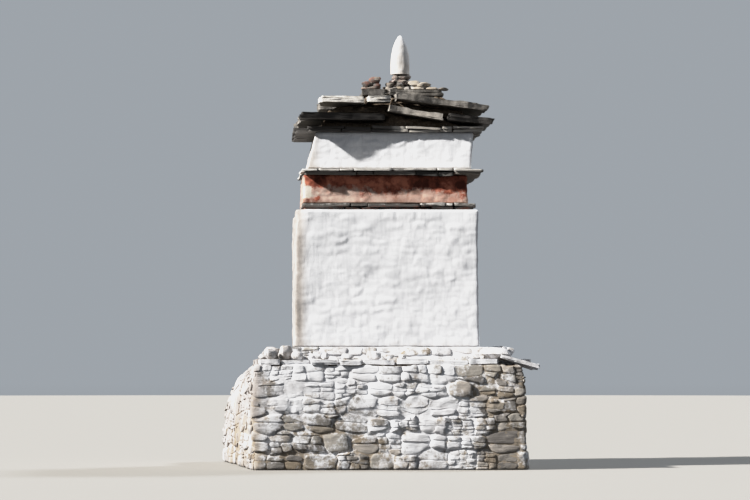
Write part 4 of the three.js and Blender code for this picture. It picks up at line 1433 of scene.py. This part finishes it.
for side_name, degrees in TURNS.items():
    node = f"ledge_flags_{side_name}"
    low, high = front_box(node, degrees)
    top = level["plinth"] + FLAG_THICKNESS
    slates = slate_row(low, high, ((level["plinth"], top, 0.0),), (0.22, 0.6), 520 + degrees, 0.09, 1.3)
    tree = solid_tree(node)
    solids = [drop_onto(tree, turned(rings, degrees), top) for rings in slates]
    rim = gathered(solids, RIM)
    piece = add_slates(
        node, solids, 530 + degrees, finish=worn_limewash, slot="worn_limewash",
        # The rims get more lime and less earth than the tops, partly as painted light on rims in shade, and
        # the left side gets wear and painted shade as the sun lights it most.
        wash=0.54 + 0.08 * rim, splash=0.5 - 0.3 * rim, weathered=0.8 if side_name == "left" else 0.0,
    )
print(f"ledge: about {len(solids)} flags a side, {triangles(piece)} triangles")

# %% [markdown]
# A loose stone is a ball cut by a dozen random planes, with the cuts worn round. It makes the pale stones
# heaped about the finial, the packing between the roof slabs and the whitewashed stones that lie on the
# ledge.

# %% A loose stone
ROCK_RINGS = 9
ROCK_SIDES = 14
FACES_AWAY = 1e-6


def rock(centre, size, seed, crispness=9, cuts=13):
    """Rings of points of a loose stone: centre, and its size along x, y and z. Fewer cuts leave it coarser,
    and crispness keeps their edges."""
    rng = np.random.default_rng(seed)
    rise = (np.linspace(-0.47, 0.47, ROCK_RINGS) * math.pi)[:, None]
    turn = 2 * math.pi * np.arange(ROCK_SIDES) / ROCK_SIDES
    rays = np.stack([
        np.cos(rise) * np.cos(turn), np.cos(rise) * np.sin(turn), np.sin(rise) + 0 * turn,
    ], axis=-1)
    planes = rng.normal(size=(cuts, 3))
    planes = np.concatenate([planes / np.linalg.norm(planes, axis=1, keepdims=True), [(0, 0, 1), (0, 0, -1)]])
    reach = np.append(rng.uniform(0.7, 1.0, cuts), [0.8, 0.8])
    shares = np.clip(rays @ planes.T, FACES_AWAY, None) / reach
    radius = (shares ** crispness).sum(axis=-1) ** (-1 / crispness)
    dents = noises(rays, seed, (0.05, 0.4), (0.03, 0.17))
    points = rays * (np.minimum(radius, 1.25) * (1 + dents))[..., None]
    points *= np.array(size) / 2 / np.abs(points).max(axis=(0, 1))
    spin = rng.uniform(0, 360)
    return turned(points, spin if abs(size[0] - size[1]) < 0.4 * size[0] else 0) + np.array(centre)


sample = rock((0, 0, 0), (0.2, 0.15, 0.1), seed=1)
print(f"a loose stone has {sample.shape[0]} rings of {sample.shape[1]} points")

# %% [markdown]
# Three small heaps of stones weigh the crown slabs down round the finial. The left one is bare dark
# slate with old drips on it, and the two others still carry lime. Each heap fills its solid's box, so its
# stones are placed by shares of that box.

# %% Cap stones
#    each stone's place and size in its pile's box: middle along x and y, foot, size along x, y and z
CAP_PILES = {
    "cap_stone_left": (
        (0.5, 0.5, 0.0, 1.0, 0.94, 0.36), (0.42, 0.52, 0.28, 0.8, 0.8, 0.34),
        (0.66, 0.5, 0.5, 0.62, 0.7, 0.5), (0.3, 0.3, 0.24, 0.56, 0.5, 0.42),
        (0.76, 0.16, 0.2, 0.42, 0.3, 0.3),
    ),
    "cap_stone_front_right": (
        (0.5, 0.5, 0.0, 1.0, 0.94, 0.46), (0.28, 0.5, 0.38, 0.56, 0.7, 0.62),
        (0.66, 0.42, 0.4, 0.5, 0.6, 0.4), (0.5, 0.2, 0.3, 0.3, 0.34, 0.34),
    ),
    "cap_stone_back_right": (
        (0.5, 0.5, 0.0, 1.0, 0.94, 0.44), (0.32, 0.5, 0.38, 0.6, 0.7, 0.44),
        (0.66, 0.52, 0.36, 0.52, 0.64, 0.64),
    ),
}
SLATY_CAP = {"tones": (0.0, 0.45), "red": 0.4, "lime": 0.22, "edge": 0.2}
LIMED_CAP = {"tones": (0.5, 0.8), "finish": worn_limewash, "wash": 0.33, "splash": 0.6}


def pile(node, shares, seed):
    """Loose stones that fill a node's box. shares gives each one's place and size in the box, from 0 to 1."""
    low, high = (np.array(corner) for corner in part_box(node))
    size = high - low
    solids = []
    for number, (x, y, foot, wide, deep, tall) in enumerate(shares):
        middle = low + size * [x, y, foot + tall / 2]
        solids.append(rock(middle, size * [wide, deep, tall], seed + number, 26, 7))
    return solids


for node, shares in CAP_PILES.items():
    look = SLATY_CAP if node == "cap_stone_left" else LIMED_CAP
    piece = add_stones(f"{node}_rocks", pile(node, shares, 700 + len(node)), 701, [node], **look)
    print(f"{piece.name}: {len(shares)} stones, {triangles(piece)} triangles")

# %% [markdown]
# The finial stands on a little cairn: three rings of fist-sized stones, each ring narrower than the one
# below, laid round one big stone that carries the weight. Red and lime have run down on them.

# %% Finial base
low, high = (np.array(corner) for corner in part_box("finial_base"))
middle, size = (low + high) / 2, high - low
base_rocks = []
rng = np.random.default_rng(710)
for course in range(3):
    stones_round = 7 - course
    radius = size[0] / 2 - 0.075 - 0.03 * course
    for number in range(stones_round):
        angle = 2 * math.pi * (number + 0.5 * course + rng.uniform(-0.15, 0.15)) / stones_round
        tall = size[2] / 3 * 1.12 * rng.uniform(0.85, 1)
        up = size[2] * ((course + 0.5) / 3 - 0.5)
        place = middle + [radius * math.cos(angle), radius * math.sin(angle), up]
        base_rocks.append(rock(place, (0.18, 0.18, tall), 720 + 10 * course + number))
base_rocks.append(rock(middle, size * [0.62, 0.62, 0.98], 760))
base = add_stones("finial_base_rocks", base_rocks, 711, ["finial_base"], red=0.34, lime=0.3, edge=0.3)
print(f"{base.name}: {len(base_rocks)} stones, {triangles(base)} triangles")

# %% [markdown]
# Spare stones are left on the ledge at every mending, and the brush whitens them with the walls. Most are
# scattered at random along the four sides. A few bigger ones are listed one by one near the corners, where
# the outline shows them. Each is let down onto whatever solid lies below it, and sinks in a little.

# %% Stones on the ledge
LEDGE_STONES = (
    (-1.50, -1.62, (0.24, 0.24, 0.22)), (-1.68, -1.55, (0.26, 0.3, 0.17)), (-1.30, -1.72, (0.2, 0.2, 0.12)),
    (-1.70, -1.76, (0.22, 0.2, 0.14)), (-1.66, -1.1, (0.22, 0.3, 0.2)), (1.56, -1.7, (0.5, 0.3, 0.19)),
    (-1.66, -0.4, (0.22, 0.3, 0.16)), (-1.68, 0.5, (0.24, 0.28, 0.18)),
)
SCATTERED_STONES = 54
ledge_tree = solid_tree("plinth", "footing", "shaft", *(f"ledge_flags_{side}" for side in SIDES))


def rest(tree, x, y, size, seed, sink=0.15):
    """A loose stone at x and y, resting on the solids of a tree."""
    hit = tree.ray_cast(Vector((x, y, 9)), STRAIGHT_DOWN)[0]
    return rock((x, y, hit.z + size[2] * (0.5 - sink)), size, seed, 22, 8)


rng = np.random.default_rng(730)
ledge_rocks = []
for number in range(SCATTERED_STONES):
    along, out = rng.uniform(-1.72, 1.72), rng.uniform(1.66, 1.80)
    x, y = [(along, -out), (out, along), (along, out), (-out, along)][number % 4]
    size = np.array([rng.uniform(0.09, 0.24), rng.uniform(0.09, 0.2), rng.uniform(0.05, 0.13)])
    ledge_rocks.append(rest(ledge_tree, x, y, size, 740 + number))
for number, (x, y, size) in enumerate(LEDGE_STONES):
    ledge_rocks.append(rest(ledge_tree, x, y, size, 800 + number))
# The stones at the left end get wear and painted shade, as the sun lights them most.
left_end = smooth(-gathered(ledge_rocks, 0), 1.2, 1.5)
ledge_piece = add_stones(
    "ledge_rocks", ledge_rocks, 731, finish=worn_limewash, slot="worn_limewash",
    wash=0.52, splash=0.34, weathered=0.5 * left_end,
)
print(f"{len(ledge_rocks)} stones on the ledge, {triangles(ledge_piece)} triangles")

# %% [markdown]
# Small stones weigh the roof down and close the gaps that rain would find. A few lie along the front and
# behind, and the rest are heaped round the finial's base, two deep close to it, with old lime on them.

# %% Stones on the roof
ROOF_STONES = (
    (0.70, -0.42, (0.2, 0.14, 0.05)), (0.88, -0.40, (0.16, 0.12, 0.05)), (1.10, -0.38, (0.12, 0.1, 0.05)),
    (0.78, -0.22, (0.16, 0.12, 0.06)), (0.05, -0.40, (0.3, 0.12, 0.05)), (-0.10, 0.3, (0.18, 0.16, 0.09)),
    (0.20, 0.44, (0.24, 0.14, 0.08)), (0.9, 0.2, (0.2, 0.16, 0.07)),
)
HEAPED_STONES = 20
roof_tree = solid_tree(*roof_nodes, "roof_core")
roof_rocks = []
for number, (x, y, size) in enumerate(ROOF_STONES):
    roof_rocks.append(rest(roof_tree, x, y, size, 820 + number))
rng = np.random.default_rng(733)
base_x, base_y = (sum(corner[axis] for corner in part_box("finial_base")) / 2 for axis in range(2))
for number in range(HEAPED_STONES):
    turn, out = rng.uniform(0, 2 * math.pi), rng.uniform(0.2, 0.44)
    size = np.array([rng.uniform(0.14, 0.24), rng.uniform(0.1, 0.18), rng.uniform(0.045, 0.08)]) * (1.3 - out)
    x, y = base_x + out * math.cos(turn), base_y + out * math.sin(turn)
    roof_rocks.append(rest(roof_tree, x, y, size, 850 + number, 0.1))
    if out < 0.3:
        on_top = roof_rocks[-1].mean(axis=(0, 1)) + [0, 0, size[2] * 0.8]
        roof_rocks.append(rock(on_top, size * 0.85, 890 + number))
roof_piece = add_stones("roof_rocks", roof_rocks, 732, finish=worn_limewash, wash=0.32, splash=0.5)
print(f"{len(roof_rocks)} stones on the roof, {triangles(roof_piece)} triangles")

# %% [markdown]
# Between the bed slabs and the big slabs the masons packed mud with stones. From below it is the dark
# under the eaves. The solid of the core gives its place, and rubble sunk in a mud skin gives its face.

# %% Roof core
core_low, core_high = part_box("roof_core")
core_wall = Wall("roof_core", core_low.z, core_high.z, rounding=0.05)
core_stones = lay_rubble(core_wall, (0.14, 0.2), (0.26, 0.12), seed=121)
core_skin = plastered_skin("roof_core_rubble", core_wall, core_stones, 0.022, 0.05, 131, mud, "mud_bedding")
print(f"{core_skin.name}: {triangles(core_skin)} triangles")

# %% [markdown]
# The finial is one tall stone under plaster and limewash, shaped by hand: round, but never quite. A
# turned profile with a little noise keeps both.

# %% Finial
FINIAL_RINGS, FINIAL_SIDES = 36, 44
FINIAL_ROUGH = 0.007


def revolved(profile, sides, seed, rough):
    """Rings of a turned and hand-plastered shape. profile holds radius and height pairs."""
    turn = 2 * math.pi * np.arange(sides) / sides
    rings = np.array([[(r * math.cos(t), r * math.sin(t), z) for t in turn] for r, z in profile])
    push = rough * noises(rings, seed, (1, 0.12), (0.4, 0.045))
    radius = np.linalg.norm(rings[..., :2], axis=-1, keepdims=True) + 1e-6
    rings[..., :2] *= 1 + np.minimum(push[..., None] / radius, 0.3)
    return rings


low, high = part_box("finial")
foot = np.array([(low.x + high.x) / 2, (low.y + high.y) / 2, low.z])
height, half = high.z - low.z, (high.x - low.x) / 2
profile = [(half * 0.6, 0)]
for share in np.linspace(0, 0.995, FINIAL_RINGS):
    profile.append(((half - 0.006) * (1 - share ** 2.4) ** 0.6, share * height))
rings = revolved(profile, FINIAL_SIDES, 601, FINIAL_ROUGH) + foot
# The finial's left side gets wear and painted shade, as the sun lights it most.
finial = add_piece(
    "finial_stone", rings, ring_faces(1, *rings.shape[:2]), limewash, "limewash", ["finial"], 60,
    weathered=0.1 + 0.35 * smooth(foot[0] - rings[..., 0], -0.06, 0.1),
    hollow=0.4 + 0.5 * noise(rings, 0.1, 611), splash=0.85 - (rings[..., 2] - low.z) * 0.6,
)
print(f"{finial.name}: {triangles(finial)} triangles")

# %% [markdown]
# The light is a low sun from the left, softened a little as through thin haze. It rakes along the front,
# so that every stone throws a short shadow, and the eaves draw their slanting shadow on the white wall.
# A wide weak lamp from behind at the right gives the two shaded sides their relief.

# %% Lamps
#               energy, softness, colour, azimuth its light travels to (from +Y towards +X), elevation
LAMPS = {
    "key": (9.1, 2.5, (1.0, 0.972, 0.93), 69, 34),
    "back": (1.8, 8, (0.92, 0.96, 1.0), -126, 46),
}
for name, (energy, softness, colour, azimuth, elevation) in LAMPS.items():
    data = bpy.data.lights.new(name, "SUN")
    data.energy, data.angle, data.color = energy, math.radians(softness), colour
    lamp = bpy.data.objects.new(name, data)
    bpy.context.scene.collection.objects.link(lamp)
    azimuth, elevation = math.radians(azimuth), math.radians(elevation)
    along = math.cos(elevation)
    travels = Vector((math.sin(azimuth) * along, math.cos(azimuth) * along, -math.sin(elevation)))
    lamp.rotation_euler = travels.to_track_quat("-Z", "Y").to_euler()
    print(f"{name} lamp: {energy} W/m2, its light falls {math.degrees(elevation):.0f} degrees from level")

# %% [markdown]
# The sky is the fill: a plain grey-blue, palest in a band round the horizon and earthy below it, so that
# undersides stay warm and dark. The left sides get more light than a screen can show, so a curve eases
# the highlights, and their stones stay visible.

# %% Sky and highlights
SKY = (
    (0, "#4f4c49"), (0.46, "#57534f"), (0.495, "#9ea4aa"),
    (0.56, "#9ea4aa"), (0.66, "#6a727b"), (1, "#69717d"),
)
#               light in, light out
HIGHLIGHTS = ((0.35, 0.35), (0.7, 0.7), (1.0, 0.855), (1.5, 0.945), (2.2, 1.0))
BRIGHTEST = (3.2, 1.04)

world = bpy.data.worlds.new("studio")
bpy.context.scene.world = world
world.use_nodes = True
sky_tree = world.node_tree
direction = add(sky_tree, "SeparateXYZ", {"Vector": add(sky_tree, "TexCoord").outputs["Generated"]})
half_turn = add(sky_tree, "MapRange", {"Value": direction.outputs["Z"], "From Min": -1.0, "From Max": 1.0})
glow = add(sky_tree, "ValToRGB", {"Fac": half_turn}, SKY)
sky_tree.links.new(outlet(glow), sky_tree.nodes["Background"].inputs["Color"])
view = bpy.context.scene.view_settings
view.view_transform = "Standard"
view.use_curve_mapping = True
shoulder = view.curve_mapping
shoulder.use_clip = False
shoulder.curves[3].points[1].location = BRIGHTEST
for light_in, light_out in HIGHLIGHTS:
    shoulder.curves[3].points.new(light_in, light_out)
shoulder.update()
print(f"light of up to {HIGHLIGHTS[-1][0]} times white is eased down to white")

# %% [markdown]
# The floor is plain and pale, but no paler than dry earth. It is kept from lighting the walls from below,
# or their shadows would be weaker than they are over rough ground.

# %% Floor
FLOOR_RADIUS = 90

bpy.ops.mesh.primitive_circle_add(vertices=96, radius=FLOOR_RADIUS, fill_type="NGON", location=(0, 0, -0.001))
floor = bpy.context.object
floor.name = "floor"
floor_material, _, floor_shader, _ = start_material("pale_floor", 0.95)
floor_shader.inputs["Base Color"].default_value = linear("#9a9792")
floor.data.materials.append(floor_material)
floor.visible_diffuse = False
print(f"the floor reaches {FLOOR_RADIUS} m out")
